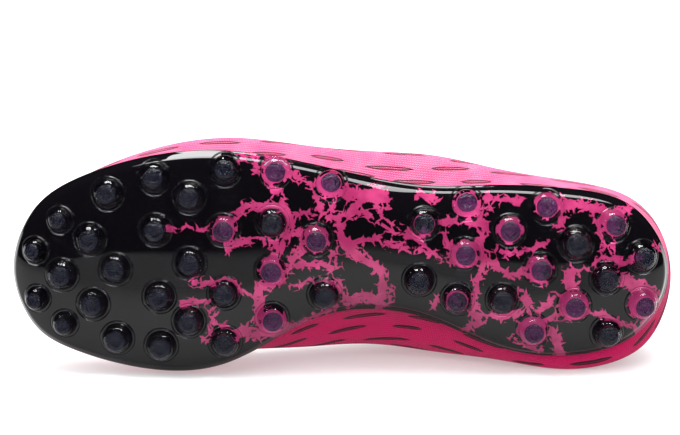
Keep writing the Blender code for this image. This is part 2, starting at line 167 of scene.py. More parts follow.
# Rim of the throat and of the collar
OPENING = (
    (0.622, 0.031, 0.679, 0.031, 0.679),
    (0.615, 0.122, 0.686, -0.061, 0.686),
    (0.594, 0.194, 0.707, -0.122, 0.714),
    (0.563, 0.241, 0.750, -0.163, 0.757),
    (0.524, 0.271, 0.807, -0.194, 0.814),
    (0.479, 0.302, 0.871, -0.235, 0.886),
    (0.427, 0.337, 0.936, -0.286, 0.957),
    (0.371, 0.408, 0.971, -0.388, 1.000),
    (0.304, 0.531, 0.871, -0.582, 0.921),
    (0.227, 0.571, 0.757, -0.698, 0.800),
    (0.147, 0.541, 0.729, -0.690, 0.743),
    (0.079, 0.418, 0.793, -0.576, 0.793),
    (0.040, 0.194, 0.879, -0.347, 0.879),
    (0.026, -0.082, 0.921, -0.082, 0.921),
)
RIBS = 2 * (len(SOLE_EDGE) - 1)
# The sole's spine is this share of its length
SPINE_SHARE = 0.84
# Up to this share of the way to its edge, the last's sole is a plain cupped ring
LAST_SOLE_SHARE = 0.96
# Where along the length the toe starts to rise, the arch starts and runs, and the heel ends
TOE_FROM = 0.62
TOE_POWER = 2.2
ARCH_FROM = 0.2
ARCH_RUN = 0.4
HEEL_UNTIL = 0.12


# %% The lines as functions
def underside(x):
    """Stud height, plus a power curve up to the toe, a sine hump at the arch and a heel curve."""
    share = x / LENGTH
    toe = TOE_SPRING * np.clip((share - TOE_FROM) / (1 - TOE_FROM), 0.0, None) ** TOE_POWER
    arch = ARCH_RISE * np.sin(math.pi * np.clip((share - ARCH_FROM) / ARCH_RUN, 0.0, 1.0)) ** 2
    heel = HEEL_SPRING * np.clip((HEEL_UNTIL - share) / HEEL_UNTIL, 0.0, None) ** 2
    return STUD_HEIGHT + toe + arch + heel


def footbed(x):
    """The underside, raised by the plate and the gap over it."""
    return underside(x) + PLATE_WALL + GAP


def closed_spline(knots, where):
    """The closed cubic spline through the knots: its bends solve one cyclic band matrix."""
    count = len(knots)
    step = np.eye(count)
    band = 4 * step + np.roll(step, 1, axis=0) + np.roll(step, -1, axis=0)
    bend = 6 * (np.roll(knots, -1, axis=0) - 2 * knots + np.roll(knots, 1, axis=0))
    bend = np.linalg.solve(band, bend)
    start = np.floor(where).astype(int)
    t = (where - start)[:, None]
    a, b = start % count, (start + 1) % count
    return ((1 - t) * knots[a] + t * knots[b]
            + ((1 - t) ** 3 - (1 - t)) * bend[a] / 6 + (t ** 3 - t) * bend[b] / 6)


def line_knots(table):
    """A line's knots: the lateral ribs from toe to heel, then the medial ribs home."""
    rows = np.array(table)
    if rows.shape[1] == 3:
        lift = np.full(len(rows), (CUP_RISE + EDGE_RISE) / INSTEP_HEIGHT)
        lateral = np.column_stack([rows[:, (0, 1)], lift])
        medial = np.column_stack([rows[:, (0, 2)], lift])
    else:
        lateral, medial = rows[:, (0, 1, 2)], rows[:, (0, 3, 4)]
    knots = np.concatenate([lateral, medial[-2:0:-1]])
    return knots * (LENGTH, BALL_WIDTH / 2, INSTEP_HEIGHT)


def round_lines(ribs):
    """The five lines at the given ribs, each lifted by the footbed under it."""
    lines = []
    for table in (SOLE_EDGE, BULGE, SHOULDER, CROWN, OPENING):
        line = closed_spline(line_knots(table), ribs)
        line[:, 2] += footbed(line[:, 0])
        lines.append(line)
    return np.array(lines)


rim_heights = round_lines(np.arange(RIBS))[4, :, 2]
print("rim of the opening stands", round(float(rim_heights.max()), 3), "m above the studs' ends")


# %% Surfaces over the lines
def sole_ring(ribs, share):
    """The ring a share of the way from the sole's spine to its edge, cupped by share to the 4th."""
    edge = round_lines(ribs)[0]
    spine = (edge + round_lines((RIBS - ribs) % RIBS)[0]) / 2
    spine[:, 0] = LENGTH / 2 + SPINE_SHARE * (spine[:, 0] - LENGTH / 2)
    ring = spine + share * (edge - spine)
    ring[:, 2] = footbed(ring[:, 0]) + CUP_RISE * share ** 4
    return ring


def hermite(t, span, start, leave, end, arrive):
    """The cubic curve from start to end that leaves and arrives along two slopes."""
    return ((2 * t ** 3 - 3 * t ** 2 + 1) * start + (t ** 3 - 2 * t ** 2 + t) * span * leave
            + (3 * t ** 2 - 2 * t ** 3) * end + (t ** 3 - t ** 2) * span * arrive)


def across_wall(lines, place):
    """A Hermite curve across the lines, its slopes weighted by the spans on each side."""
    spans = np.linalg.norm(np.diff(lines, axis=0), axis=2)[:, :, None]
    slopes = np.diff(lines, axis=0) / spans
    inner = (slopes[:-1] * spans[1:] + slopes[1:] * spans[:-1]) / (spans[1:] + spans[:-1])
    tangents = np.concatenate([slopes[:1], inner, slopes[-1:]])
    place = np.broadcast_to(place, lines.shape[1])
    start = np.clip(np.floor(place).astype(int), 0, len(lines) - 2)
    rib = np.arange(lines.shape[1])
    return hermite((place - start)[:, None], spans[start, rib], lines[start, rib],
                   tangents[start, rib], lines[start + 1, rib], tangents[start + 1, rib])


def skin(ribs, places):
    """The last's surface. A place runs from 0 on the sole's spine to 1 at its edge, then 5 at
    the opening. Up to LAST_SOLE_SHARE it is a cupped sole ring, past it a curve across the wall."""
    lines = np.concatenate([[sole_ring(ribs, LAST_SOLE_SHARE)], round_lines(ribs)])
    rows = []
    for place in places:
        if place <= LAST_SOLE_SHARE:
            rows.append(sole_ring(ribs, place))
        elif place < 1.0:
            share = (place - LAST_SOLE_SHARE) / (1 - LAST_SOLE_SHARE)
            rows.append(across_wall(lines, share))
        else:
            rows.append(across_wall(lines, place))
    return np.array(rows)


def outward(surface):
    """Unit normals: the step along each row crossed with the step across the rows."""
    along = np.roll(surface, -1, axis=1) - np.roll(surface, 1, axis=1)
    across = np.gradient(surface, axis=0)
    normals = np.cross(along, across)
    size = np.linalg.norm(normals, axis=2, keepdims=True)
    normals = np.where(size > 1e-12, normals / np.maximum(size, 1e-12), (0.0, 0.0, -1.0))
    normals[0] = (0.0, 0.0, -1.0)
    return normals


# %% [markdown]
# ## Lying down
#
# The lines describe a standing shoe, with x forward from the heel, y to the lateral side and
# z up from the stud tips. The frame has the shoe lying on three points of its medial side.
# Two slopes describe the floor as the standing shoe sees it, and one point says where the
# frame's origin is, so one turn and one shift carry every array into the frame.

# %% From the standing shoe to the frame
FLOOR_FORWARD = -0.0050731
FLOOR_UPWARD = 0.1279918
FRAME_SHIFT = np.array((0.1428414, -0.0506308, 0.0452278))


def laying_turn():
    """Rows of the turn: toe to heel, sole to collar, and the floor's upward normal."""
    up = np.array((-FLOOR_FORWARD, 1.0, -FLOOR_UPWARD))
    up /= np.linalg.norm(up)
    toe_to_heel = np.array((-1.0, 0.0, 0.0))
    toe_to_heel -= up * (toe_to_heel @ up)
    toe_to_heel /= np.linalg.norm(toe_to_heel)
    return np.array((toe_to_heel, np.cross(up, toe_to_heel), up))


TURN = laying_turn()


def lay(points):
    """Points of the standing shoe, turned and shifted into the frame."""
    return points @ TURN.T + FRAME_SHIFT


print("the sole leans", round(math.degrees(math.asin(abs(TURN[2, 2]))), 1), "degrees off upright")

# %% [markdown]
# ## The camera
#
# The photograph looks almost straight at the sole with a long lens, from 6 degrees towards
# the lateral side. The camera is placed in the standing shoe's axes, where that is easy to
# say, and then laid down with the shoe.

# %% Camera
VIEW_SLANT = math.radians(6.0)
VIEW_DISTANCE = 1.4
AIM = np.array((0.1440, 0.02419, 0.0085))
LENS_MM = 173.7


def place_camera():
    """A camera whose axes are the shoe's backward, slanted lateral and slanted sole axes."""
    right = np.array((-1.0, 0.0, 0.0))
    up = np.array((0.0, math.cos(VIEW_SLANT), math.sin(VIEW_SLANT)))
    back = np.array((0.0, math.sin(VIEW_SLANT), -math.cos(VIEW_SLANT)))
    axes = TURN @ np.column_stack([right, up, back])
    lens = bpy.data.cameras.new("photo_camera")
    lens.lens = LENS_MM
    camera = bpy.data.objects.new("photo_camera", lens)
    place = lay(AIM + VIEW_DISTANCE * back)
    camera.matrix_world = Matrix.Translation(Vector(place)) @ Matrix(axes.tolist()).to_4x4()
    bpy.context.collection.objects.link(camera)
    bpy.context.scene.camera = camera
    print("camera stands", round(float(place[2]), 3), "m above the floor")


place_camera()

# %% [markdown]
# ## From arrays to meshes
#
# Every piece is a grid of points, rows by columns. One helper lays the grid down, joins
# neighbours with four-sided faces and stores what the finishes need: a UV map in millimetres
# that follows the cloth, and named measures such as the distance to a painted vein.

# %% Grid helpers
def unit(vectors):
    """Vectors scaled to length one."""
    return vectors / np.maximum(np.linalg.norm(vectors, axis=-1, keepdims=True), 1e-12)


def smooth(value, low, high):
    """A smooth step from 0 at low to 1 at high."""
    t = np.clip((value - low) / (high - low), 0.0, 1.0)
    return t * t * (3 - 2 * t)


def blunt(wave, power):
    """A wave from -1 to 1 with its sign kept and its size raised to a power."""
    return np.sign(wave) * np.abs(wave) ** power


def grid_faces(rows, columns):
    """Corners of the faces of an open grid."""
    index = np.arange(rows * columns).reshape(rows, columns)
    return np.stack([index[:-1, :-1], index[:-1, 1:], index[1:, 1:], index[1:, :-1]],
                    axis=-1).reshape(-1, 4)


def gather(grids):
    """Points and faces of many equal grids, numbered one after the other."""
    count, levels, columns = grids.shape[:3]
    one = grid_faces(levels, columns)
    faces = np.concatenate([one + number * levels * columns for number in range(count)])
    return grids.reshape(-1, 3), faces


def ring_normals(surface):
    """Normals of a surface whose last column repeats the first."""
    normals = outward(surface[:, :-1])
    return np.concatenate([normals, normals[:, :1]], axis=1)


# From and to these places, a surface's normals turn from the footbed's into its own
SPINE_BLEND = (0.04, 0.2)


def spine_normals(surface, places):
    """Ring normals that turn into the footbed's own, from its slope, close to the spine."""
    step = 0.1 * MM
    x = surface[..., 0]
    slope = (footbed(x + step) - footbed(x - step)) / (2 * step)
    plain = unit(np.stack([slope, np.zeros_like(x), -np.ones_like(x)], axis=-1))
    share = (1 - smooth(places, *SPINE_BLEND))[:, None, None]
    return unit(share * plain + (1 - share) * ring_normals(surface))


RIM_TURN = np.radians((20, 50, 90, 130, 160))


def turned_edge(outer, inner, onward):
    """Rows over an edge: half circles from the outer to the inner row, towards onward."""
    middle, half = (outer + inner) / 2, (outer - inner) / 2
    radius = np.linalg.norm(half, axis=1, keepdims=True)
    return np.array([middle + math.cos(a) * half + math.sin(a) * radius * onward
                     for a in RIM_TURN])

# %% Mesh helper
MERGE_DISTANCE = 1e-6
LEAST_EDGE = 1e-8


def mesh_of(name, grids, finishes, cloth=None, measures=None, second_from=None):
    """An object from one grid of standing points or from many equal ones, smooth, riding on the
    shoe's one body. Faces from the row second_from onwards have the second finish."""
    grids = grids.reshape(-1, *grids.shape[-3:])
    points, faces = gather(grids)
    mesh = bpy.data.meshes.new(name)
    mesh.vertices.add(len(points))
    mesh.vertices.foreach_set("co", lay(points).ravel())
    mesh.loops.add(faces.size)
    mesh.loops.foreach_set("vertex_index", faces.ravel())
    mesh.polygons.add(len(faces))
    mesh.polygons.foreach_set("loop_start", np.arange(0, faces.size, faces.shape[1]))
    if second_from is not None:
        count, levels, columns = grids.shape[:3]
        row = np.tile(np.repeat(np.arange(levels - 1), columns - 1), count)
        mesh.polygons.foreach_set("material_index", (row >= second_from).astype(int))
    mesh.update(calc_edges=True)
    if cloth is not None:
        layer = mesh.uv_layers.new(name="cloth")
        layer.data.foreach_set("uv", cloth.reshape(-1, 2)[faces].ravel())
    for title, values in (measures or {}).items():
        layer = mesh.attributes.new(title, "FLOAT", "POINT")
        layer.data.foreach_set("value", values.ravel())
    for finish in finishes:
        mesh.materials.append(finish)
    work = bmesh.new()
    work.from_mesh(mesh)
    bmesh.ops.remove_doubles(work, verts=work.verts, dist=MERGE_DISTANCE)
    bmesh.ops.dissolve_degenerate(work, edges=work.edges, dist=LEAST_EDGE)
    if work.calc_volume(signed=True) < 0:
        bmesh.ops.reverse_faces(work, faces=work.faces)
    work.to_mesh(mesh)
    work.free()
    mesh.shade_smooth()
    piece = bpy.data.objects.new(name, mesh)
    bpy.context.collection.objects.link(piece)
    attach(piece, "root")
    print(name, len(mesh.polygons), "faces")
    return piece


# %% [markdown]
# ## Finishes as node trees
#
# Each finish is a Principled shader fed by measured patterns. The patterns that several
# finishes share, such as the knitted stitch and the jagged edge of the print, are node groups
# with named inputs. A node's output is wrapped as a signal that knows sums and products, so
# that a pattern reads like its formula.

# %% Node helpers
def node(tree, kind, values=None, **settings):
    """A node with its settings, and each named or numbered input set or linked. It gives back
    all of its outputs as signals, by number and by name."""
    made = tree.nodes.new(kind)
    for title, value in settings.items():
        setattr(made, title, value)
    for socket, value in (values or {}).items():
        if isinstance(value, Signal):
            tree.links.new(value.socket, made.inputs[socket])
        else:
            made.inputs[socket].default_value = value
    signals = [Signal(tree, socket) for socket in made.outputs]
    return {**{signal.socket.name: signal for signal in signals}, **dict(enumerate(signals))}


class Signal:
    """One output of a node. Arithmetic on it makes Math nodes."""

    def __init__(self, tree, socket):
        self.tree = tree
        self.socket = socket

    def maths(self, operation, *others):
        """The result of one Math node on this signal and on others, or on numbers."""
        return node(self.tree, "ShaderNodeMath", dict(enumerate((self, *others))),
                    operation=operation)[0]

    def __add__(self, other):
        return self.maths("ADD", other)

    def __sub__(self, other):
        return self.maths("SUBTRACT", other)

    def __rsub__(self, other):
        return node(self.tree, "ShaderNodeMath", {0: other, 1: self},
                    operation="SUBTRACT")[0]

    def __mul__(self, other):
        return self.maths("MULTIPLY", other)

    def __truediv__(self, other):
        return self.maths("DIVIDE", other)

    def __abs__(self):
        return self.maths("ABSOLUTE")

    def line(self, slope, start):
        """Slope times this signal, plus a start, in one node."""
        return self.maths("MULTIPLY_ADD", slope, start)

    def whole(self):
        """The number without its fraction."""
        return self.maths("FLOOR")

    def fraction(self):
        """The number less its whole part."""
        return self.maths("FRACT")

    def sine(self):
        """The sine of an angle in radians."""
        return self.maths("SINE")

    def most(self, other):
        """The greater of two."""
        return self.maths("MAXIMUM", other)

    def ramp(self, low, high):
        """0 below low, 1 above high and a smooth step between them."""
        return node(self.tree, "ShaderNodeMapRange", {0: self, 1: low, 2: high},
                    interpolation_type="SMOOTHSTEP")[0]

    def blend(self, first, second):
        """A colour between two colours, by this share from 0 to 1."""
        return node(self.tree, "ShaderNodeMix", {0: self, 6: first, 7: second},
                    data_type="RGBA")[2]

    def parts(self, kind="XYZ"):
        """The three numbers of a vector, or of a colour."""
        split = node(self.tree, "ShaderNodeSeparate" + kind, {0: self})
        return [split[number] for number in range(3)]

    def noise(self, scale, detail=2.0, rough=0.5):
        """Values of a noise field at this place, about 0 to 1."""
        return node(self.tree, "ShaderNodeTexNoise", {"Vector": self, "Scale": scale,
                                                      "Detail": detail, "Roughness": rough})["Fac"]

# %% Patterns and finishes
# The share of light that a clear solid lets through to what it stands on
SHADOW_PASS = 0.85


class Pattern:
    """A shader node group. An input that starts as None is a vector, the others are numbers."""

    def __init__(self, name, outputs, **inputs):
        self.tree = bpy.data.node_groups.new(name, "ShaderNodeTree")
        for title, start in inputs.items():
            kind = "NodeSocketVector" if start is None else "NodeSocketFloat"
            socket = self.tree.interface.new_socket(title.replace("_", " "), in_out="INPUT",
                                                    socket_type=kind)
            if start is not None:
                socket.default_value = start
        for title in outputs:
            self.tree.interface.new_socket(title, in_out="OUTPUT",
                                           socket_type="NodeSocketFloat")
        self.sink = self.tree.nodes.new("NodeGroupOutput")
        self.given = node(self.tree, "NodeGroupInput")

    def give(self, **outputs):
        """Link signals to the group's outputs."""
        for title, signal in outputs.items():
            self.tree.links.new(signal.socket, self.sink.inputs[title])


class Finish:
    """A material with its Principled shader, whose constants are set on its own sockets."""

    def __init__(self, name, roughness=0.5, **constants):
        self.material = bpy.data.materials.new(name)
        self.material.use_nodes = True
        self.tree = self.material.node_tree
        self.shader = self.tree.nodes["Principled BSDF"]
        self.shader.inputs["Roughness"].default_value = roughness
        for title, value in constants.items():
            self.shader.inputs[title.replace("_", " ")].default_value = value

    def place(self):
        """The piece's own Object coordinates, in metres."""
        return node(self.tree, "ShaderNodeTexCoord")["Object"]

    def measure(self, name):
        """A number that the mesh stores at each point."""
        return node(self.tree, "ShaderNodeAttribute", attribute_name=name)["Fac"]

    def cloth(self):
        """The cloth's own coordinates, in millimetres."""
        return node(self.tree, "ShaderNodeUVMap", uv_map="cloth")[0]

    def pattern(self, pattern, **values):
        """A copy of a pattern's group, with its own values."""
        return node(self.tree, "ShaderNodeGroup", values, node_tree=pattern.tree)

    def feed(self, title, signal):
        """Link a signal into one of the shader's sockets."""
        self.tree.links.new(signal.socket, self.shader.inputs[title])

    def relief(self, height, distance):
        """A Bump node from a height, in metres of travel, into cloth or film and coat alike."""
        bump = node(self.tree, "ShaderNodeBump", {"Height": height, "Distance": distance})[0]
        self.feed("Normal", bump)
        self.feed("Coat Normal", bump)

    def pass_shadows(self):
        """Nearly let shadow rays through, so that what a clear solid stands on stays lit."""
        shadow = node(self.tree, "ShaderNodeLightPath")["Is Shadow Ray"]
        self.feed("Alpha", shadow.line(-SHADOW_PASS, 1.0))


# %% [markdown]
# ## The shared patterns
#
# The print's edge is torn, so the smooth distance to a vein is roughened by two noises and
# then cut. The knit is a field of small chevrons. The dashes are short lenses in staggered
# rows, each with a fine hatch, worked out from the cloth's own millimetres.

# %% Torn print
WARP_REACH = 0.005
CRACK_REACH = 0.11


def torn_print_pattern():
    """Distance in mm, torn by a broad and a fine noise, cut at zero. Near an edge the borders
    between warped Voronoi cells add fine branches, and cell by cell shards turn up or drop out."""
    pattern = Pattern("torn_print", ["Mask"], Place=None, Distance=0.0, Tear=2.0, Fray=1.0, Crack=3.0)
    tree, given = pattern.tree, pattern.given
    place = given["Place"]
    tear = (place.noise(150.0, 2.0, 0.6) - 0.5) * given["Tear"]
    fray = (place.noise(700.0, 4.0, 0.7) - 0.5) * given["Fray"]
    edge = given["Distance"] + (tear + fray)
    warp = node(tree, "ShaderNodeTexNoise",
                {"Vector": place, "Scale": 220.0, "Detail": 3.0, "Roughness": 0.6})["Color"]
    shift = node(tree, "ShaderNodeVectorMath", {0: warp, "Scale": WARP_REACH},
                 operation="SCALE")[0]
    bent = node(tree, "ShaderNodeVectorMath", {0: place, 1: shift}, operation="ADD")[0]
    cells = node(tree, "ShaderNodeTexVoronoi", {"Vector": bent, "Scale": 190.0},
                 feature="DISTANCE_TO_EDGE")["Distance"]
    chance = node(tree, "ShaderNodeTexVoronoi", {"Vector": bent, "Scale": 480.0})["Color"]
    crack = edge.ramp(given["Crack"], 0.0) * CRACK_REACH - cells
    shard = chance.parts("Color")[0] - edge.ramp(-1.3, 0.8)
    pattern.give(Mask=shard.ramp(0.0, 0.07).most(crack.ramp(0.005, 0.022)))
    return pattern


def knit_pattern():
    """Chevrons: the course line is pushed up and down by a triangle wave across each wale."""
    pattern = Pattern("knitted_stitch", ["Height"], Cloth=None, Wale=1.1, Course=1.2)
    given = pattern.given
    right, up, _ = given["Cloth"].parts()
    wale = right / given["Wale"]
    lean = abs(wale.fraction() - 0.5)
    course = up / given["Course"] + lean
    across = abs((course * math.pi).sine())
    along = abs((wale * math.pi).sine())
    pattern.give(Height=across * along.line(0.5, 0.5))
    return pattern


def dash_pattern():
    """Blunt lenses on a staggered grid: a point is inside while its distance from the middle
    line is under the half height times one minus the fourth power of its share of the half
    length. Each lens has its own length, place and tilt."""
    pattern = Pattern("staggered_dashes", ["Mask", "Rim"], Cloth=None, Pitch=27.0, Row=7.0,
                      Half_length=9.4, Half_height=0.95, Slope=0.06)
    tree, given = pattern.tree, pattern.given
    right, up, _ = given["Cloth"].parts()
    rows = (up - right * given["Slope"]) / given["Row"]
    row = rows.whole()
    shift = node(tree, "ShaderNodeTexWhiteNoise", {"W": row}, noise_dimensions="1D")[0]
    cells = right / given["Pitch"] + row.line(0.5, shift * 0.3)
    seed = node(tree, "ShaderNodeCombineXYZ", {0: row, 1: cells.whole()})[0]
    chance = node(tree, "ShaderNodeTexWhiteNoise", {"Vector": seed}, noise_dimensions="3D")
    longer, higher, steeper = chance["Color"].parts("Color")
    along = (cells.fraction() - 0.5) * given["Pitch"]
    half = given["Half length"] * longer.line(0.45, 0.7)
    middle = (rows.fraction() + higher.line(0.4, -0.7)) * given["Row"]
    tilt = steeper.line(0.16, -0.08) * along
    share = abs(along / half).maths("POWER", 4.0)
    gap = abs(middle + tilt) - (1.0 - share) * given["Half height"]
    pattern.give(Mask=gap.ramp(0.12, -0.12), Rim=gap.ramp(0.15, -0.05) * gap.ramp(-0.75, -0.4))
    return pattern


TORN_PRINT = torn_print_pattern()
KNITTED_STITCH = knit_pattern()
STAGGERED_DASHES = dash_pattern()

# %% [markdown]
# ## Finishes of the sole
#
# The plate is a clear moulding over a printed film: black, torn through by pink veins. From
# outside that reads as colour under a hard gloss coat, so the film is the base colour and the
# moulding is the coat. The studs are thick enough to bend light, so they are real glass-like
# solids that stand on the film and show it through their walls.

# %% Sole finishes
BLACK_FILM = (0.0035, 0.0030, 0.0042, 1.0)
PINK_FILM = (0.54, 0.052, 0.180, 1.0)
PINK_FILM_DEEP = (0.38, 0.028, 0.120, 1.0)
# Millimetres from a stud's foot to the middle of the groove round it
RING_GROOVE = 1.05
RING_HALF_WIDTH = 0.4
RING_DEPTH = 0.3 * MM
# Half the width over which the coat fades out under a stud, in millimetres
COAT_FADE = 0.4


def film_finish():
    """Black film torn by pink veins, under a clear coat, which a stud takes the place of."""
    film = Finish("marbled_film", 0.5, Coat_Weight=1.0, Coat_Roughness=0.015, Coat_IOR=1.34,
                  Specular_IOR_Level=0.0)
    place = film.place()
    mask = film.pattern(TORN_PRINT, Place=place, Distance=film.measure("vein_mm"),
                        Tear=2.4, Fray=1.6, Crack=2.4)["Mask"]
    pink = place.noise(120.0, 4.0).ramp(0.35, 0.7).blend(PINK_FILM_DEEP, PINK_FILM)
    film.feed("Base Color", mask.blend(BLACK_FILM, pink))
    beside = film.measure("stud_mm")
    film.feed("Coat Weight", beside.ramp(-COAT_FADE, COAT_FADE))
    film.relief(abs(beside - RING_GROOVE).ramp(0.0, RING_HALF_WIDTH), RING_DEPTH)
    return film.material


def stud_finish():
    """Clear moulding, a little smoky."""
    clear = Finish("clear_stud", 0.05, Transmission_Weight=1.0, IOR=1.36,
                   Base_Color=(0.78, 0.78, 0.84, 1.0))
    clear.pass_shadows()
    return clear.material


def stud_tip_finish():
    """The stud's end: smoky and bluish, with fine rough swirls that sparkle in the light."""
    tip = Finish("stud_tip", 0.18, Transmission_Weight=0.9, IOR=1.32)
    speck = tip.place().noise(1100.0, 3.0, 0.6)
    tip.feed("Base Color", speck.ramp(0.4, 0.62).blend((0.005, 0.007, 0.050, 1.0),
                                                       (0.030, 0.036, 0.15, 1.0)))
    tip.relief(speck, 0.7 * MM)
    tip.pass_shadows()
    return tip.material


# %% [markdown]
# ## Finishes of the cloth
#
# The upper is one fine knit. Its loops catch light on their crowns, so the crowns are paler
# than the grooves, and a sheen lightens it at grazing angles as fuzz does. The dashes are
# darker yarn, with a rim and a hatch. Towards the inner side of the foot, which lies lowest,
# the pink is painted deeper and the dashes darker, as shade.

# %% Cloth finishes
KNIT_PINK = (0.86, 0.008, 0.170, 1.0)
KNIT_PALE = (0.95, 0.360, 0.520, 1.0)
# Painted shade: the cloth turns to this deeper pink below the first height above the floor, fading out
# by the second
KNIT_PAINTED_SHADE = (0.90, 0.006, 0.150, 1.0)
PAINTED_SHADE_FROM = 14 * MM
PAINTED_SHADE_UNTIL = 48 * MM
DASH_DARK = (0.010, 0.002, 0.005, 1.0)
HATCH_PITCH = 1.1


def knit_finish(name, pale, base, dash=None, wale=1.1, course=1.2, bump=0.35):
    """Knitted cloth with pale crowns, dark grooves and, if asked, dashes of dark yarn. As painted
    shade, the pink deepens and the dashes darken towards the inner side of the foot, which lies
    lowest."""
    knit = Finish(name, 0.72, Sheen_Weight=0.2, Sheen_Roughness=0.5,
                  Sheen_Tint=(1.0, 0.80, 0.90, 1.0), Specular_IOR_Level=0.15)
    cloth = knit.cloth()
    height = knit.pattern(KNITTED_STITCH, Cloth=cloth, Wale=wale, Course=course)["Height"]
    place = knit.place()
    cloud = place.noise(90.0, 3.0)
    tone = height.line(0.6, cloud.line(0.6, -0.3))
    # Painted shade: 1 low down near the floor, 0 higher up the side
    painted_shade = place.parts()[2].ramp(PAINTED_SHADE_UNTIL, PAINTED_SHADE_FROM)
    colour = painted_shade.blend(tone.blend(base, pale), KNIT_PAINTED_SHADE)
    if dash is not None:
        marks = knit.pattern(STAGGERED_DASHES, Cloth=cloth)
        right, up, _ = cloth.parts()
        hatch = ((right + up * 0.8) * (2 * math.pi / HATCH_PITCH)).sine()
        dark = (marks["Rim"] * 0.95).most(marks["Mask"] * hatch.line(0.28, 0.42))
        # Painted shade: low down, the dashes darken to nearly black
        dark = dark.most(marks["Mask"] * (painted_shade * 0.88))
        colour = dark.blend(colour, dash)
        height = height - marks["Rim"] * 0.8
    knit.feed("Base Color", colour)
    knit.relief(height, bump * MM)
    return knit.material


def weave_finish(name, colour, pale, pitch):
    """A flat woven lace: diagonal plies that cross, with pale crowns."""
    weave = Finish(name, 0.75, Sheen_Weight=0.25, Specular_IOR_Level=0.2)
    along, around, _ = weave.cloth().parts()
    turn = 2 * math.pi / pitch
    plies = ((along + around) * turn).sine().most(((along - around) * turn).sine())
    crown = plies.line(0.5, 0.5)
    weave.feed("Base Color", crown.blend(colour, pale))
    weave.relief(crown, 0.3 * MM)
    return weave.material


def flecked_finish(name, scale, detail, colours, bump=None, **constants):
    """Dull cloth or shade, flecked by a fine noise between two colours."""
    flecked = Finish(name, 0.9, **constants)
    fleck = flecked.place().noise(scale, detail)
    flecked.feed("Base Color", fleck.blend(*colours))
    if bump is not None:
        flecked.relief(fleck, bump * MM)
    return flecked.material


FILM = film_finish()
CLEAR_STUD = stud_finish()
STUD_TIP = stud_tip_finish()
UPPER_KNIT = knit_finish("upper_knit", KNIT_PALE, KNIT_PINK, DASH_DARK)
LINING = knit_finish("lining_knit", (0.55, 0.06, 0.20, 1.0), (0.30, 0.015, 0.09, 1.0),
                     wale=1.6, course=1.6)
TONGUE_KNIT = knit_finish("tongue_knit", KNIT_PALE, (0.72, 0.028, 0.21, 1.0),
                          wale=2.4, course=1.0, bump=0.5)
LACE_WEAVE = weave_finish("lace_weave", (0.62, 0.022, 0.17, 1.0), (0.92, 0.10, 0.34, 1.0), 1.6)
# Brushed black cloth over foam
FOOTBED = flecked_finish("footbed_cloth", 1500.0, 3.0,
                         ((0.012, 0.011, 0.013, 1.0), (0.050, 0.045, 0.052, 1.0)), bump=0.2,
                         Sheen_Weight=0.3, Specular_IOR_Level=0.2)
# Painted shade: a dark disc in each eyelet, for the shadow inside the hole
EYELET_SHADE = flecked_finish("eyelet_shade", 900.0, 2.0,
                             ((0.02, 0.004, 0.009, 1.0), (0.05, 0.008, 0.02, 1.0)),
                             Specular_IOR_Level=0.1)
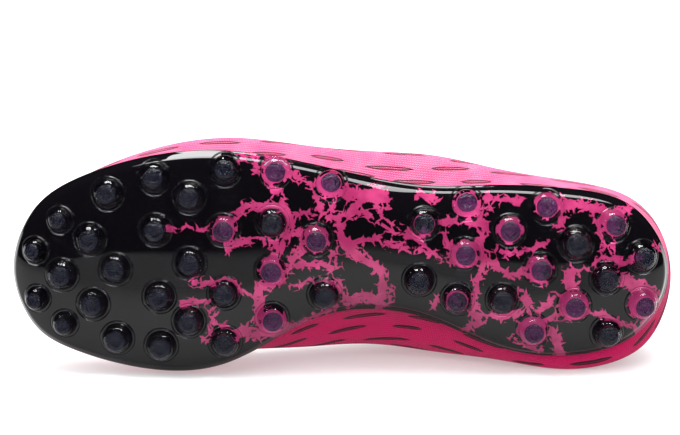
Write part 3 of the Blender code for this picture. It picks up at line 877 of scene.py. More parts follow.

# %% [markdown]
# ## The plate
#
# The plate is the last's own underside, moved out by its wall and carried up to the rim, then
# turned over the edge and back along the inside, so it is a true closed moulding. Each point
# also learns how far it is from the nearest pink vein. The veins were read on the
# photograph, as a half width and a run of points, and are turned into millimetres here.

# %% Veins
# Read on the photograph, in its pixels: half a width, then the points of one vein
VEINS = (
    # thin vein in the black forefoot
    (0.7, ((166, 229), (188, 227), (209, 228))),
    # forefoot, outer half
    (3.2, ((222, 232), (234, 220), (245, 206), (262, 206), (279, 207), (289, 214))),
    (1.2, ((227, 240), (227, 252))),
    (3.6, ((268, 160), (271, 186), (280, 200), (290, 214), (293, 227))),
    (2.2, ((231, 242), (258, 241), (281, 243))),
    (2.2, ((292, 214), (306, 213), (320, 216), (338, 218))),
    (1.6, ((316, 192), (320, 214))),
    (1.4, ((333, 200), (333, 215))),
    (2.4, ((286, 166), (298, 180), (316, 187))),
    (2.2, ((240, 160), (254, 156), (257, 172))),
    # forefoot, inner half
    (4.2, ((293, 227), (284, 239), (275, 253), (271, 264), (281, 278), (266, 286), (259, 289),
           (261, 303), (258, 326), (256, 340))),
    (2.4, ((194, 283), (206, 283), (230, 282), (240, 291), (257, 299))),
    (2.2, ((184, 304), (205, 301), (213, 311), (216, 324), (210, 331), (203, 340))),
    (2, ((216, 324), (226, 327), (240, 330))),
    (6.5, ((238, 334), (262, 333), (286, 331))),
    (2.2, ((286, 331), (301, 327), (317, 318), (334, 311))),
    (3.2, ((287, 270), (303, 264), (317, 266), (334, 269))),
    (1.4, ((293, 287), (313, 281), (328, 281), (340, 290))),
    (3, ((293, 227), (302, 236), (300, 250), (291, 262))),
    # waist
    (7.5, ((346, 194), (362, 197), (379, 196))),
    (4.5, ((356, 205), (350, 214))),
    (2, ((350, 211), (366, 213), (379, 223), (391, 231))),
    (1.3, ((376, 198), (378, 211), (384, 217), (388, 208), (388, 193))),
    (3.8, ((338, 218), (341, 236), (346, 247))),
    (2.6, ((346, 247), (360, 242), (379, 239), (396, 248), (422, 249), (440, 258))),
    (1.9, ((387, 221), (399, 229), (417, 240))),
    (4.2, ((346, 247), (357, 254), (373, 266), (382, 276), (382, 294), (381, 308))),
    (2.6, ((334, 252), (337, 270), (341, 292), (349, 307))),
    (4.2, ((349, 301), (364, 297), (379, 301))),
    (1.4, ((391, 290), (390, 305))),
    (1.8, ((420, 238), (424, 229))),
    (1.6, ((433, 309), (436, 300))),
    (3, ((418, 196), (437, 199))),
    # heel, front
    (3.2, ((487, 199), (482, 213), (485, 228), (480, 245), (484, 263), (477, 282), (475, 300))),
    (2.8, ((441, 222), (459, 221), (480, 224))),
    (2, ((444, 234), (450, 249), (452, 262))),
    (3, ((486, 256), (496, 266), (508, 274), (525, 274), (543, 281))),
    (1.8, ((494, 248), (511, 256), (529, 250), (548, 241))),
    (3.4, ((475, 300), (474, 313), (480, 324), (468, 331))),
    (2.2, ((477, 315), (500, 318), (516, 315), (539, 311), (556, 297))),
    (2, ((522, 290), (529, 305), (537, 312))),
    (1.8, ((491, 209), (500, 199), (521, 202))),
    # heel, back
    (6.5, ((571, 272), (573, 288))),
    (1.8, ((578, 275), (596, 263), (604, 256), (602, 236), (598, 222))),
    (1.4, ((604, 256), (618, 263), (637, 259))),
    (1.4, ((612, 244), (618, 263))),
    (3.2, ((561, 200), (566, 213), (559, 226))),
    (4.4, ((566, 204), (583, 206), (597, 210))),
    (2.6, ((597, 210), (613, 214), (630, 211))),
    (5.5, ((621, 279), (639, 285), (651, 293), (657, 304), (652, 320), (642, 333))),
    (2.4, ((586, 311), (605, 316), (623, 325), (639, 332))),
    (2.2, ((543, 322), (556, 316), (572, 313))),
    (4.6, ((552, 331), (559, 345), (563, 358))),
    (1.4, ((655, 247), (663, 251))),
    (1.6, ((541, 352), (525, 346), (512, 338))),
    # discs under single studs
    (8.5, ((224, 228),)),
    (12, ((276, 168),)),
    (10, ((327, 187),)),
    (10, ((315, 237),)),
    (8, ((271, 267),)),
    (9, ((272, 320),)),
    (10.5, ((464, 254),)),
    (9.5, ((467, 207),)),
    (9, ((510, 230),)),
    (9, ((547, 205),)),
    (9.5, ((612, 222),)),
    (9, ((539, 266),)),
    (14.5, ((573, 305),)),
    (12.5, ((643, 305),)),
    (12.5, ((532, 329),)),
    (5, ((457, 301),)),
)
PHOTO_MIDDLE = np.array((340.0, 217.5))
PLAN_MIDDLE = np.array((144.0, 24.2))
PLAN_PER_PIXEL = np.array((-0.4267, -0.429))


def vein_distance(plan):
    """For each plan point in mm: the least distance to any vein's middle line, less its half width."""
    nearest = np.full(len(plan), np.inf)
    for pixels, run in VEINS:
        half_width = pixels * abs(PLAN_PER_PIXEL[1])
        run = PLAN_MIDDLE + (np.array(run) - PHOTO_MIDDLE) * PLAN_PER_PIXEL
        if len(run) == 1:
            run = np.repeat(run, 2, axis=0)
        for start, end in zip(run[:-1], run[1:]):
            way = end - start
            length = max(way @ way, 1e-9)
            share = np.clip((plan - start) @ way / length, 0.0, 1.0)
            gap = np.linalg.norm(plan - start - share[:, None] * way, axis=1) - half_width
            nearest = np.minimum(nearest, gap)
    return nearest


# %% Where the studs stand
# A stud: x share of LENGTH, y share of half the BALL_WIDTH from the middle of the heel,
# and size against a plain stud
SMALL, PLAIN, LARGE = 0.8, 1.0, 1.1
STUDS = (
    # toe
    (0.962, 0.178, SMALL), (0.960, -0.244, SMALL),
    (0.924, 0.453, SMALL), (0.921, -0.027, PLAIN), (0.918, -0.459, SMALL),
    (0.878, 0.292, PLAIN), (0.874, -0.278, PLAIN),
    (0.851, 0.689, PLAIN), (0.840, 0.034, PLAIN), (0.838, -0.581, PLAIN),
    # ball
    (0.781, 0.832, PLAIN), (0.779, 0.380, PLAIN), (0.774, -0.203, PLAIN), (0.772, -0.640, PLAIN),
    (0.728, 0.667, PLAIN), (0.728, 0.092, PLAIN), (0.730, -0.420, PLAIN),
    (0.675, 0.902, PLAIN), (0.677, 0.384, PLAIN), (0.677, -0.170, PLAIN), (0.676, -0.601, PLAIN),
    # forefoot behind the ball
    (0.600, 0.890, PLAIN), (0.605, 0.451, PLAIN), (0.606, 0.028, PLAIN), (0.605, -0.395, PLAIN),
    (0.518, 0.777, PLAIN), (0.539, 0.298, PLAIN), (0.527, -0.184, PLAIN),
    # waist
    (0.378, 0.440, PLAIN), (0.385, -0.058, PLAIN),
    # heel
    (0.314, 0.607, PLAIN), (0.316, 0.176, PLAIN), (0.328, -0.226, PLAIN),
    (0.250, 0.381, PLAIN), (0.260, -0.224, PLAIN),
    (0.195, 0.578, PLAIN), (0.204, 0.045, PLAIN), (0.214, -0.499, PLAIN),
    (0.151, 0.265, LARGE), (0.153, -0.277, PLAIN),
    (0.094, 0.424, PLAIN), (0.105, -0.037, PLAIN), (0.103, -0.522, PLAIN),
    (0.052, 0.145, PLAIN), (0.051, -0.272, PLAIN),
)
# Millimetres from a plain stud's middle to its foot, where the coat ends
STUD_FOOT = 6.4


def stud_distance(plan):
    """For each plan point in mm: the least distance to a stud's middle, less its foot's radius."""
    spots = np.array(STUDS)
    middles = spots[:, :2] * (LENGTH / MM, BALL_WIDTH / 2 / MM)
    gaps = np.linalg.norm(plan[:, None] - middles, axis=2) - STUD_FOOT * spots[:, 2]
    return gaps.min(axis=1)


print(len(VEINS), "veins and discs,", len(STUDS), "studs")

# %% Plate
PLATE_COLUMNS = 640
PLATE_ROWS = 88
PLATE_BACK_ROWS = 14
# How far the rim climbs the wall: at the toe, the lateral side, the heel and the medial side
RIM_CLIMB = (0.20, 0.06, 0.12, 0.08)
RIM_ROWS = 20
CLIMB_ROWS = 8
# Places on the last where the even rows end and the closer rows of the edge lie
FLAT_UNTIL = 0.94
EDGE_PLACES = (0.95, 0.995)


def build_plate():
    """The underside moved out by gap and wall, over the rim, and back at the gap alone."""
    ribs = np.linspace(0, RIBS, PLATE_COLUMNS + 1)
    places = np.linspace(0, FLAT_UNTIL, PLATE_ROWS - RIM_ROWS)
    climb = closed_spline(np.array(RIM_CLIMB)[:, None], ribs / RIBS * len(RIM_CLIMB))[:, 0]
    lines = round_lines(ribs)
    rim = [across_wall(lines, share * climb) for share in np.linspace(0, 1, CLIMB_ROWS)]
    places = np.concatenate([places, np.linspace(*EDGE_PLACES, RIM_ROWS - CLIMB_ROWS)])
    surface = np.concatenate([skin(ribs, places), rim])
    normals = spine_normals(surface, np.concatenate([places, np.ones(CLIMB_ROWS)]))
    outer = surface + (GAP + PLATE_WALL) * normals
    inner = surface + GAP * normals
    edge = turned_edge(outer[-1], inner[-1], unit(outer[-1] - outer[-2]))
    back = inner[::-1][np.linspace(0, len(inner) - 1, PLATE_BACK_ROWS).astype(int)]
    rows = np.concatenate([outer, edge, back])
    plan = rows.reshape(-1, 3)[:, :2] / MM
    measures = {"vein_mm": vein_distance(plan), "stud_mm": stud_distance(plan)}
    return mesh_of("plate_shell", rows, [FILM], measures=measures), outer


plate, plate_outer = build_plate()
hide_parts("outsole")

# %% [markdown]
# ## The studs
#
# A stud is a profile of radius and height turned about its axis: a thin flange that follows
# the plate, a fillet, a slightly hollow cone and a rounded end with a small dimple. Its axis
# is the plate's normal where it stands, and a parabola fitted to the plate there carries the
# flange, so that it lies on the curved plate all round.

# %% Studs
STUD_FACETS = 36
# Radius and height in mm, from the middle of the hidden foot to the middle of the end
STUD_PROFILE = (
    (0.0, -0.7), (6.9, -0.6), (6.75, -0.05), (6.55, 0.15), (6.42, 0.5), (6.32, 1.1), (6.2, 2.0),
    (6.05, 2.9), (5.8, 3.7), (5.45, 4.3), (5.05, 4.7), (4.75, 5.0), (4.6, 5.4), (4.52, 6.2),
    (4.42, 7.0), (4.25, 7.6), (3.95, 8.0), (3.55, 8.15), (3.2, 8.2), (3.0, 8.32), (2.75, 8.5),
    (2.45, 8.5), (2.2, 8.3), (2.0, 8.1), (1.2, 8.0), (0.0, 8.0),
)
FLANGE_ROWS = 4
TIP_FIRST_ROW = 15
STUD_LEAN = 0.3
# How far round a stud the plate is felt for, and how far its flange follows the plate
STUD_REACH = 6.0 * MM
WALL_FOLLOWS = 0.3


def circle_about(axis, beside, facets):
    """Unit steps all round an axis, the first of them square to axis and beside."""
    turn = np.linspace(0, 2 * math.pi, facets + 1)
    side = unit(np.cross(axis, beside))
    other = np.cross(axis, side)
    return np.cos(turn)[:, None] * side + np.sin(turn)[:, None] * other


def surface_tree(surface):
    """A search tree over a grid of points, in the standing shoe's axes."""
    faces = grid_faces(*surface.shape[:2])
    return BVHTree.FromPolygons(surface.reshape(-1, 3).tolist(), faces.tolist())


def stud_seat(tree, x, y, reach):
    """Height, slopes and bends of the plate about a stud, from five rays cast upwards."""
    up = Vector((0.0, 0.0, 1.0))
    spots = [(0, 0), (reach, 0), (-reach, 0), (0, reach), (0, -reach)]
    heights = []
    for dx, dy in spots:
        hit = tree.ray_cast(Vector((x + dx, y + dy, -LENGTH)), up)[0]
        heights.append(hit.z if hit else heights[0])
    mid, ahead, behind, left, right = heights
    slopes = ((ahead - behind) / (2 * reach), (left - right) / (2 * reach))
    bends = ((ahead + behind - 2 * mid) / reach ** 2, (left + right - 2 * mid) / reach ** 2)
    return mid, slopes, bends


def stud_rows(seat, x, y, size):
    """The turned profile: low points are carried by the parabola under them, along the plate's
    normal, and higher ones lean less, because the whole sole leaves its mould straight down."""
    mid, (slope_x, slope_y), (bend_x, bend_y) = seat
    axis = unit(np.array((slope_x, slope_y, -1.0)))
    stem = unit(np.array((slope_x * STUD_LEAN, slope_y * STUD_LEAN, -1.0)))
    profile = np.array(STUD_PROFILE) * MM
    circle = circle_about(axis, (0.0, 1.0, 0.0), STUD_FACETS)
    radii = profile[:, :1, None] * size
    rise = profile[:, 1, None, None]
    shear = smooth(rise, 0.0, STUD_HEIGHT / 2)
    flat = circle - (circle @ stem)[:, None] * stem
    points = (np.array((x, y, mid)) + radii * ((1 - shear) * circle + shear * flat)
              + rise * ((1 - shear) * axis + shear * stem))
    spread = points - (x, y, mid)
    bend = (bend_x * spread[..., 0] ** 2 + bend_y * spread[..., 1] ** 2) / 2
    flange = np.clip(profile[:, 0] / STUD_REACH, 0, 1)[:, None] ** 2
    low = (np.arange(len(profile)) < FLANGE_ROWS)[:, None]
    points[..., 2] += np.where(low, bend * flange, bend * WALL_FOLLOWS * flange)
    return points


def build_studs():
    """All studs in one piece, clear walls with textured ends."""
    tree = surface_tree(plate_outer)
    rows = []
    for x_share, y_share, size in STUDS:
        x, y = x_share * LENGTH, y_share * BALL_WIDTH / 2
        rows.append(stud_rows(stud_seat(tree, x, y, STUD_REACH * size), x, y, size))
    return mesh_of("stud_mouldings", np.array(rows), [CLEAR_STUD, STUD_TIP],
                   second_from=TIP_FIRST_ROW)


studs = build_studs()

# %% [markdown]
# ## The upper
#
# The upper is a hollow knitted sock from the margin that the insole covers, up the wall and
# over the collar, then back down as the lining. Its wall is padded round the collar. Small
# steps stand out from the last's surface: the eyestay's band along the throat, and the ribs
# of the collar.

# %% Upper
UPPER_COLUMNS = 560
UPPER_ROWS = 100
LINING_ROWS = 28
MARGIN_PLACE = 0.72
THROAT_RIBS = 7.2
COLLAR_PAD = 1.6 * MM
EYESTAY_WIDTH = 16.0 * MM
EYESTAY_STEP = 0.45 * MM
COLLAR_BAND = 11.0 * MM
COLLAR_RIB_PITCH = 2.8 * MM
COLLAR_RIB_DEPTH = 0.30 * MM
# Rows of the turned-in margin, and where the collar's padding starts and is full
MARGIN_ROWS = 5
PAD_PLACES = (3.6, 4.6)
PAD_FULL_RIB = THROAT_RIBS + 1.2
# How softly the steps start and end, in ribs round the shoe and in metres up the wall
THROAT_BLUR = 0.25
EYESTAY_BLUR = 0.6 * MM
COLLAR_BLUR = 1.5 * MM
COLLAR_FROM_RIB = THROAT_RIBS + 0.3
COLLAR_FULL_RIB = THROAT_RIBS + 0.8


def lateral_rib(ribs):
    """Rib number counted from the toe on either side, 0 at the toe and 13 at the heel."""
    return np.minimum(ribs % RIBS, (RIBS - ribs) % RIBS)


def lengths_across(surface):
    """Distance up each column from the first row."""
    steps = np.linalg.norm(np.diff(surface, axis=0), axis=2)
    return np.concatenate([np.zeros((1, surface.shape[1])), np.cumsum(steps, axis=0)])


def lengths_along(line):
    """Distance along one row from its first point."""
    steps = np.linalg.norm(np.diff(line, axis=0), axis=1)
    return np.concatenate([[0.0], np.cumsum(steps)])


def upper_steps(surface, ribs):
    """Height of the eyestay's band and the collar's ribs over the last, in metres."""
    up_wall = lengths_across(surface)
    from_rim = up_wall[-1] - up_wall
    side = lateral_rib(ribs)
    throat = 1 - smooth(side, THROAT_RIBS - THROAT_BLUR, THROAT_RIBS + THROAT_BLUR)
    band = 1 - smooth(from_rim, EYESTAY_WIDTH - EYESTAY_BLUR, EYESTAY_WIDTH + EYESTAY_BLUR)
    steps = EYESTAY_STEP * throat * band
    around = lengths_along(surface[-1])
    collar = smooth(side, COLLAR_FROM_RIB, COLLAR_FULL_RIB)
    count = round(around[-1] / COLLAR_RIB_PITCH)
    waves = np.abs(np.sin(math.pi * count * around / around[-1]))
    cuff = 1 - smooth(from_rim, COLLAR_BAND - COLLAR_BLUR, COLLAR_BAND)
    return steps + COLLAR_RIB_DEPTH * collar * cuff * waves


def build_upper():
    """The last's surface with its steps, over the rim, and back down one wall further in. The
    columns start at the heel, where the cloth is joined. Each row is measured from the toe."""
    ribs = np.linspace(-RIBS / 2, RIBS / 2, UPPER_COLUMNS + 1)
    places = np.concatenate([np.linspace(MARGIN_PLACE, LAST_SOLE_SHARE, MARGIN_ROWS),
                             np.linspace(1, 5, UPPER_ROWS)])
    surface = skin(ribs, places)
    normals = ring_normals(surface)
    outer = surface + upper_steps(surface, ribs)[..., None] * normals
    collar = smooth(lateral_rib(ribs), THROAT_RIBS, PAD_FULL_RIB)
    pad = COLLAR_PAD * collar * smooth(places, *PAD_PLACES)[:, None]
    inner = surface - (UPPER_WALL + pad)[..., None] * normals
    edge = turned_edge(outer[-1], inner[-1], unit(outer[-1] - outer[-3]))
    back = inner[::-1][np.linspace(0, len(inner) - 1, LINING_ROWS).astype(int)]
    rows = np.concatenate([outer, edge, back, outer[:1]])
    along = lengths_across(rows.transpose(1, 0, 2)).T
    along = along - along[:, UPPER_COLUMNS // 2, None]
    cloth = np.stack([along, lengths_across(rows)], axis=-1) / MM
    return mesh_of("knit_upper", rows, [UPPER_KNIT, LINING], cloth=cloth,
                   second_from=len(outer) + len(edge) - 1)


upper = build_upper()
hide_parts("upper")

# %% [markdown]
# ## The footbed
#
# The footbed fills the space inside the margin. Only its top shows, through the collar, so it
# is the sole's own curve raised by the insole's wall, with a soft rounded edge.

# %% Footbed
FOOTBED_COLUMNS = 280
INSOLE_SHARE = 0.895
# Shares of the way to the edge: the flat rows, then closer rows where the bed turns up
BED_FLAT = (0, 0.7, 16)
BED_TURN = (0.73, INSOLE_SHARE, 6)


def build_footbed():
    """Sole rings raised by margin and wall, over a rounded edge, and back underneath."""
    ribs = np.linspace(0, RIBS, FOOTBED_COLUMNS + 1)
    shares = np.concatenate([np.linspace(*BED_FLAT), np.linspace(*BED_TURN)])
    floor = np.array([sole_ring(ribs, share) for share in shares])
    normals = spine_normals(floor, shares)
    on_margin = UPPER_WALL + GAP
    top = floor - (on_margin + INSOLE_WALL) * normals
    under = floor - on_margin * normals
    edge = turned_edge(top[-1], under[-1], unit(top[-1] - top[-2]))
    return mesh_of("footbed", np.concatenate([top, edge, under[::-1]]), [FOOTBED])


bed = build_footbed()
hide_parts("insole")

# %% [markdown]
# ## The instep, as a surface
#
# Tongue and lace both lie on the instep. It is worked out as a function of two numbers: the
# rib, and a place across, 1 at the lateral rim of the throat, -1 at the medial one and one
# eyelet inset for each unit beyond.

# %% Instep
EYELET_INSET = 9.0 * MM


def instep(ribs, across):
    """A Hermite bridge between the rims of the throat, and the wall itself beyond them."""
    sides = []
    for facing in (ribs, RIBS - ribs):
        lines = round_lines(facing % RIBS)
        down = np.clip(np.abs(across) - 1.0, 0.0, None) * EYELET_INSET
        reach = np.linalg.norm(lines[4] - lines[3], axis=1)
        point = across_wall(lines, 4 - down / reach)
        near = across_wall(lines, 4 - MM / reach)
        sides.append((point, lines[4], unit(lines[4] - near)))
    (lateral, rim_a, slope_a), (medial, rim_b, slope_b) = sides
    width = np.linalg.norm(rim_a - rim_b, axis=1)[:, None]
    t = np.clip((1.0 - across) / 2, 0.0, 1.0)[:, None]
    bridge = hermite(t, width, rim_a, slope_a, rim_b, -slope_b)
    bridge = np.where((across >= 1.0)[:, None], lateral, bridge)
    return np.where((across <= -1.0)[:, None], medial, bridge)


def instep_normals(ribs, across):
    """Unit normals of the instep, up and out, from steps along and across it."""
    step = 0.02
    along = instep(ribs + step, across) - instep(ribs - step, across)
    over = instep(ribs, across + step) - instep(ribs, across - step)
    normals = np.cross(along, over)
    return unit(normals * np.sign(normals[:, 2:3]))


# %% [markdown]
# ## The tongue
#
# A padded knitted strip runs under the eyestays and stands free above the top eyelets, where
# it widens and leans forward. Its section is a flat pad with rounded sides, and its top end
# closes in a soft roll.

# %% Tongue
FIRST_EYELET_RIB = 2.3
LAST_EYELET_RIB = 6.9
TONGUE_TOE_RIB = 1.2
TONGUE_LAP = 8.0 * MM
TONGUE_INSET = 0.15
TONGUE_CORNER = 0.5
TONGUE_SECTION = 64
TONGUE_ROWS = 90
# The free top: its length and width, how far it leans, and from where its corners are round
TONGUE_FREE_LENGTH = 28.0 * MM
TONGUE_FREE_ROWS = 44
TONGUE_TOP_WIDTH = 44.0 * MM
TONGUE_LEAN = np.array((0.10, 0.0, 0.60))
TONGUE_ROUND_FROM = 0.48
TONGUE_ROUND_RUN = 0.54
TONGUE_ROUND_POWERS = (3, 0.45)
TONGUE_WIDE_AT = 0.6
TONGUE_CLOSING = np.radians((25, 50, 75, 90))


def tongue_section(rib):
    """One section: a pad whose middle surface lies under the instep, thinning to its sides. In
    the last quarter below the free top it draws in from under the eyestays."""
    from_top = (LAST_EYELET_RIB - rib) / (LAST_EYELET_RIB - TONGUE_TOE_RIB)
    lap = TONGUE_LAP * min(1.0, 4 * from_top) / EYELET_INSET
    inset = TONGUE_INSET * max(0.0, 1 - 4 * from_top)
    turn = np.linspace(0, 2 * math.pi, TONGUE_SECTION + 1)
    across = np.cos(turn) * (1.0 + lap - inset)
    ribs = np.full(len(turn), rib)
    normals = instep_normals(ribs, across)
    middle = instep(ribs, across) - (UPPER_WALL + TONGUE_GAP + TONGUE_WALL / 2) * normals
    half = TONGUE_WALL / 2 * blunt(np.sin(turn), TONGUE_CORNER)
    return middle + half[:, None] * normals


def build_tongue():
    """Sections under the throat, then the last one carried up, widened and leaned forward."""
    rows = [tongue_section(rib) for rib in np.linspace(TONGUE_TOE_RIB, LAST_EYELET_RIB,
                                                       TONGUE_ROWS)]
    last = rows[-1]
    middle = last.mean(axis=0)
    way = unit(middle - rows[-10].mean(axis=0))
    widening = TONGUE_TOP_WIDTH / np.ptp(last[:, 1])
    bend, soften = TONGUE_ROUND_POWERS
    for share in np.linspace(0.03, 1.0, TONGUE_FREE_ROWS):
        lean = unit(way + share * TONGUE_LEAN)
        past = max(0.0, share - TONGUE_ROUND_FROM) / TONGUE_ROUND_RUN
        wide = 1 + (widening - 1) * smooth(share, 0.0, TONGUE_WIDE_AT)
        spread = np.array((1.0, wide * (1 - past ** bend) ** soften, 1.0))
        rows.append(middle + (last - middle) * spread + TONGUE_FREE_LENGTH * share * lean)
    top, centre = rows[-1], rows[-1].mean(axis=0)
    onward = unit(centre - rows[-3].mean(axis=0))
    for angle in TONGUE_CLOSING:
        close = centre + (top - centre) * (math.cos(angle) * 0.5 + 0.5)
        rows.append(close + onward * TONGUE_WALL / 2 * math.sin(angle))
    rows.append(np.broadcast_to(rows[-1].mean(axis=0), top.shape))
    rows.insert(0, np.broadcast_to(rows[0].mean(axis=0), top.shape))
    rows = np.array(rows)
    around = np.broadcast_to(lengths_along(rows[len(rows) // 2]), rows.shape[:2])
    cloth = np.stack([around, lengths_across(rows)], axis=-1) / MM
    return mesh_of("knit_tongue", rows, [TONGUE_KNIT], cloth=cloth)


tongue = build_tongue()
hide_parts("tongue")

# %% [markdown]
# ## Eyelets and lace
#
# The lace is one flat woven cord. A bar crosses at the toe end, then each stretch climbs from
# one eyelet to the next on the other side, over and under in turn. It comes up out of each
# eyelet, so both ends of a stretch dip below the eyestay. The hidden ends stop at the top pair.

# %% Eyelets
EYELET_PAIRS = 5
EYELET_ACROSS = 2.0
EYELET_SECTION = ((2.35, -0.6), (2.25, 0.2), (2.45, 0.55), (2.9, 0.75), (3.4, 0.6), (3.75, 0.15),
                  (3.8, -0.6))
EYELET_FACETS = 32
EYELET_STEP_OUT = 0.45 * MM

HOLE_DISC = ((0.0, -0.4), (2.3, -0.4), (2.3, 0.12), (0.0, 0.12))


def turned(profile, centre, axis):
    """A profile of radius and height, in mm, turned about an axis through a centre."""
    profile = np.array(profile) * MM
    circle = circle_about(axis, (1.0, 0.0, 0.0), EYELET_FACETS)
    return centre + profile[:, :1, None] * circle + profile[:, 1, None, None] * axis


def at_eyelets(profile):
    """The profile turned at each eyelet on both sides, from the toe end up."""
    ribs = np.repeat(np.linspace(FIRST_EYELET_RIB, LAST_EYELET_RIB, EYELET_PAIRS), 2)
    across = np.tile((EYELET_ACROSS, -EYELET_ACROSS), EYELET_PAIRS)
    normals = instep_normals(ribs, across)
    spots = instep(ribs, across) + EYELET_STEP_OUT * normals
    return np.array([turned(profile, spot, normal) for spot, normal in zip(spots, normals)])


# Rings and stitches are plain thread, so their place on the weave is zero all over
rings = at_eyelets(EYELET_SECTION + EYELET_SECTION[:1])
eyelets = mesh_of("eyelet_rings", rings, [LACE_WEAVE], cloth=np.zeros_like(rings[..., :2]))
# Painted shade: a dark disc lies in each eyelet, for the shadow inside the hole
holes = mesh_of("eyelet_holes", at_eyelets(HOLE_DISC), [EYELET_SHADE])

# %% [markdown]
# ## The stitches
#
# Two rows of thread run along each eyestay, one near the throat and one near its outer edge.
# Thread shows as a chain of short raised stitches, so each stitch is a small ellipsoid that
# lies along its row, sunk to half its height in the cloth.

# %% Stitches
STITCH_ROWS = (1.32, 2.62, -1.32, -2.62)
STITCH_RIBS = (1.5, 7.05)
STITCH_PITCH = 3.3 * MM
STITCH_HALF = np.array((1.25, 0.42, 0.36)) * MM
STITCH_SAMPLES = 400
STITCH_STEP = 0.01
STITCH_RINGS = 8
STITCH_FACETS = 10


def stitch_row(across):
    """Small ellipsoids at an even pitch along the eyestay, lying along it, half sunk."""
    ribs = np.linspace(*STITCH_RIBS, STITCH_SAMPLES)
    run = lengths_along(instep(ribs, np.full(len(ribs), across)))
    marks = np.interp(np.arange(STITCH_PITCH, run[-1], STITCH_PITCH), run, ribs)
    level = np.full(len(marks), across)
    normals = instep_normals(marks, level)
    along = unit(instep(marks + STITCH_STEP, level) - instep(marks - STITCH_STEP, level))
    side = np.cross(normals, along)
    polar = np.linspace(0, math.pi, STITCH_RINGS)[:, None]
    turn = np.linspace(0, 2 * math.pi, STITCH_FACETS + 1)
    shape = np.stack([np.cos(polar) * np.ones_like(turn), np.sin(polar) * np.cos(turn),
                      np.sin(polar) * np.sin(turn)], axis=-1) * STITCH_HALF
    frame = np.stack([along, side, normals], axis=1)
    centres = instep(marks, level) + EYELET_STEP_OUT * normals
    return centres[:, None, None] + np.einsum("abk,nkc->nabc", shape, frame)


thread = np.concatenate([stitch_row(row) for row in STITCH_ROWS])
stitches = mesh_of("eyestay_stitches", thread, [LACE_WEAVE],
                   cloth=np.zeros_like(thread[..., :2]))

# %% Lace
LACE_WIDTH = 6.4 * MM
LACE_THICKNESS = 1.3 * MM
LACE_STATIONS = 56
LACE_SECTION = 20
LACE_CORNER = 0.6
# Height over the eyestays, more where one stretch crosses another, and the dip at an eyelet
LACE_LIFT = 1.0 * MM
LACE_CROSSING = 1.5 * MM
LACE_CROSSING_RUN = 0.14
LACE_DIP = 2.2 * MM
LACE_DIP_RUN = 0.10
LACE_PINCH = 0.62
# How far along a stretch the normals are smoothed
LACE_EVEN_RUN = 0.08
# The instep that the lace lies on: from, to and steps, in ribs and in places across
INSTEP_RIBS = (0.05, 7.4, 200)
INSTEP_ACROSS = (2.6, -2.6, 160)


def instep_tree():
    """A search tree over the instep between the eyestays' outer edges."""
    ribs, across = np.meshgrid(np.linspace(*INSTEP_RIBS), np.linspace(*INSTEP_ACROSS),
                               indexing="ij")
    return surface_tree(instep(ribs.ravel(), across.ravel()).reshape(*ribs.shape, 3))


def lace_stretch(tree, start, end, over):
    """One flat stretch, straight in plan: rays find the instep under it. It is lifted at the
    crossing and dips at both ends."""
    share = np.linspace(0.0, 1.0, LACE_STATIONS)
    ribs = np.array((start[0], end[0]))
    first, last = instep(ribs, np.array((start[1], end[1])) * EYELET_ACROSS)
    plan = first + (last - first) * share[:, None]
    hits = [tree.ray_cast(Vector((x, y, LENGTH)), Vector((0.0, 0.0, -1.0))) for x, y, _ in plan]
    path = np.array([hit[0] for hit in hits])
    normals = np.array([hit[1] for hit in hits])
    normals = normals * np.sign(normals[:, 2:3])
    spread = np.exp(-((share[:, None] - share) / LACE_EVEN_RUN) ** 2)
    normals = unit(spread @ normals)
    ends = 1 - smooth(np.minimum(share, 1 - share), 0.0, LACE_DIP_RUN)
    lift = LACE_LIFT + LACE_THICKNESS / 2 - LACE_DIP * ends ** 2
    lift = lift + over * LACE_CROSSING * np.exp(-((share - 0.5) / LACE_CROSSING_RUN) ** 2)
    path = path + lift[:, None] * normals
    along = unit(np.gradient(path, axis=0))
    side = unit(np.cross(normals, along))
    rise = np.cross(along, side)
    width = LACE_WIDTH / 2 * (1 - (1 - LACE_PINCH) * ends)
    turn = np.linspace(0, 2 * math.pi, LACE_SECTION + 1)
    flat, tall = blunt(np.cos(turn), LACE_CORNER), blunt(np.sin(turn), LACE_CORNER)
    points = (path[:, None] + width[:, None, None] * flat[:, None] * side[:, None]
              + LACE_THICKNESS / 2 * tall[:, None] * rise[:, None])
    first, last = points[:1].mean(axis=1), points[-1:].mean(axis=1)
    points = np.concatenate([np.broadcast_to(first, points[:1].shape), points,
                             np.broadcast_to(last, points[:1].shape)])
    return points, float(lengths_along(path)[-1])


def build_lace():
    """The bar and the crossings, each over the one that climbs the other way."""
    ribs = np.linspace(FIRST_EYELET_RIB, LAST_EYELET_RIB, EYELET_PAIRS)
    tree = instep_tree()
    stretches = [lace_stretch(tree, (ribs[0], 1), (ribs[0], -1), 0.0)]
    for rib, above in zip(ribs[:-1], ribs[1:]):
        stretches.append(lace_stretch(tree, (rib, 1), (above, -1), 0.0))
        stretches.append(lace_stretch(tree, (rib, -1), (above, 1), 1.0))
    grids = np.array([points for points, _ in stretches])
    seen = sum(length for _, length in stretches)
    print("lace seen over the throat", round(seen, 3), "m in", len(stretches), "stretches")
    along = np.array([lengths_across(grid) for grid in grids])
    around = np.linspace(0, 2 * (LACE_WIDTH + LACE_THICKNESS), LACE_SECTION + 1)
    cloth = np.stack([along, np.broadcast_to(around, along.shape)], axis=-1) / MM
    return mesh_of("woven_lace", grids, [LACE_WEAVE], cloth=cloth)


lace = build_lace()
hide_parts("lace")

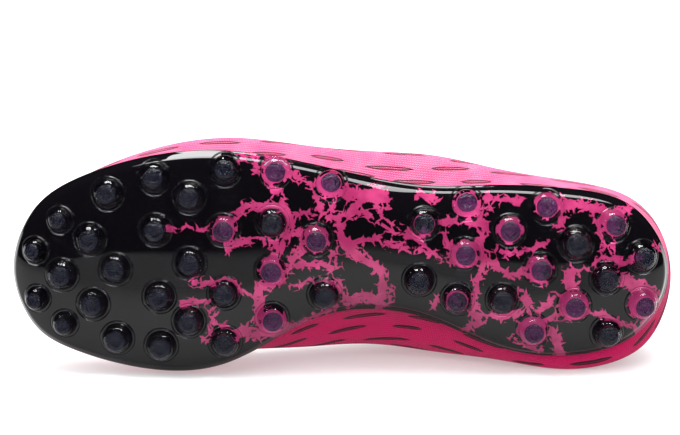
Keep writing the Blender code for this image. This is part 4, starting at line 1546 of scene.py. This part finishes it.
# %% [markdown]
# ## Floor, light and air
#
# A product shot has a pale sweep, one large soft light overhead and a dark room behind the
# camera. The dark room is what a black gloss sole needs: it mirrors the room, and only its
# lower half, which mirrors the floor, turns grey. So the world is pale to the camera and to
# soft light, and dark to mirror rays above the horizon. The floor glows a little, for the
# camera only: painted light that pales the shoe's shadow on it. It throws no light back on the
# cloth. One softbox overhead lights the cloth, and a strip below it is seen only as the white
# line on the sole's edge.

# %% Floor
FLOOR_HALF = 4.0
# The smooth cloth bulges this much further down than the CAD model's flat facets
FLOOR_LEVEL = -1.6 * MM
# Painted light: the floor glows for the camera alone, which pales the shadow that the camera sees
FLOOR_PAINTED_LIGHT = 0.32


def build_floor():
    """One wide flat square under the shoe, faintly clouded."""
    corners = [(-1, -1), (1, -1), (1, 1), (-1, 1)]
    mesh = bpy.data.meshes.new("pale_floor")
    mesh.from_pydata([(x * FLOOR_HALF, y * FLOOR_HALF, FLOOR_LEVEL) for x, y in corners], [],
                     [(0, 1, 2, 3)])
    pale = Finish("pale_floor", 0.85, Specular_IOR_Level=0.0, Emission_Color=(1.0, 1.0, 1.0, 1.0))
    # Painted light: a glow that only camera rays see, to pale the shadow on the floor
    seen = node(pale.tree, "ShaderNodeLightPath")["Is Camera Ray"]
    pale.feed("Emission Strength", seen * FLOOR_PAINTED_LIGHT)
    dust = pale.place().noise(40.0, 4.0)
    pale.feed("Base Color", dust.blend((0.74, 0.74, 0.74, 1.0), (0.76, 0.76, 0.76, 1.0)))
    mesh.materials.append(pale.material)
    floor = bpy.data.objects.new("pale_floor", mesh)
    bpy.context.collection.objects.link(floor)
    floor.visible_diffuse = False


build_floor()

# %% Lights
def soft_light(name, place, aim, size, power, diffuse=True, glossy=True):
    """An area light at a place, facing a point, seen by cloth, by gloss or by both."""
    lamp = bpy.data.lights.new(name, "AREA")
    lamp.shape = "RECTANGLE"
    lamp.size, lamp.size_y = size
    lamp.energy = power
    light = bpy.data.objects.new(name, lamp)
    facing = (Vector(aim) - Vector(place)).to_track_quat("-Z", "Y")
    light.matrix_world = Matrix.Translation(Vector(place)) @ facing.to_matrix().to_4x4()
    light.visible_diffuse = diffuse
    light.visible_glossy = glossy
    bpy.context.collection.objects.link(light)


soft_light("overhead_softbox", (0.05, 0.05, 1.5), (0.0, 0.0, 0.0), (1.4, 1.0), 29.0,
           glossy=False)
soft_light("front_fill", (-0.3, -1.7, 1.5), (0.0, 0.0, 0.04), (0.9, 0.9), 6.0, glossy=False)
soft_light("strip_reflection", (0.05, 0.05, 1.3), (0.0, 0.0, 0.0), (1.4, 0.6), 52.0,
           diffuse=False)

# %% Air
AIR_SEEN = 1.0
# Soft light from above the horizon, over what comes from below it
AIR_SOFT = 0.95
AIR_BELOW = 0.36
SOFT_HORIZON = (-0.05, 0.15)
# What mirrors see: the pale sweep up to its top, and the dark room over it
AIR_SWEEP = 1.0
AIR_DARK = 0.006
SWEEP_TOP = 0.012
SWEEP_BLUR = 0.003


def light_air():
    """A world white to the camera and soft to diffuse light. Mirror rays find the pale sweep up
    to a little above the horizon, and a dark room over it."""
    world = bpy.data.worlds.new("studio_air")
    world.use_nodes = True
    tree = world.node_tree
    back = tree.nodes["Background"]
    path = node(tree, "ShaderNodeLightPath")
    rise = node(tree, "ShaderNodeTexCoord")["Generated"].parts()[2]
    sweep = rise.ramp(SWEEP_TOP + SWEEP_BLUR, SWEEP_TOP - SWEEP_BLUR).line(AIR_SWEEP, AIR_DARK)
    soft = rise.ramp(*SOFT_HORIZON).line(AIR_SOFT, AIR_BELOW)
    light = (path["Is Camera Ray"] * AIR_SEEN + path["Is Diffuse Ray"] * soft
             + path["Is Glossy Ray"] * sweep)
    tree.links.new(light.socket, back.inputs["Strength"])
    back.inputs["Color"].default_value = (1.0, 1.0, 1.0, 1.0)
    bpy.context.scene.world = world


light_air()
bpy.context.scene.view_settings.view_transform = "Standard"
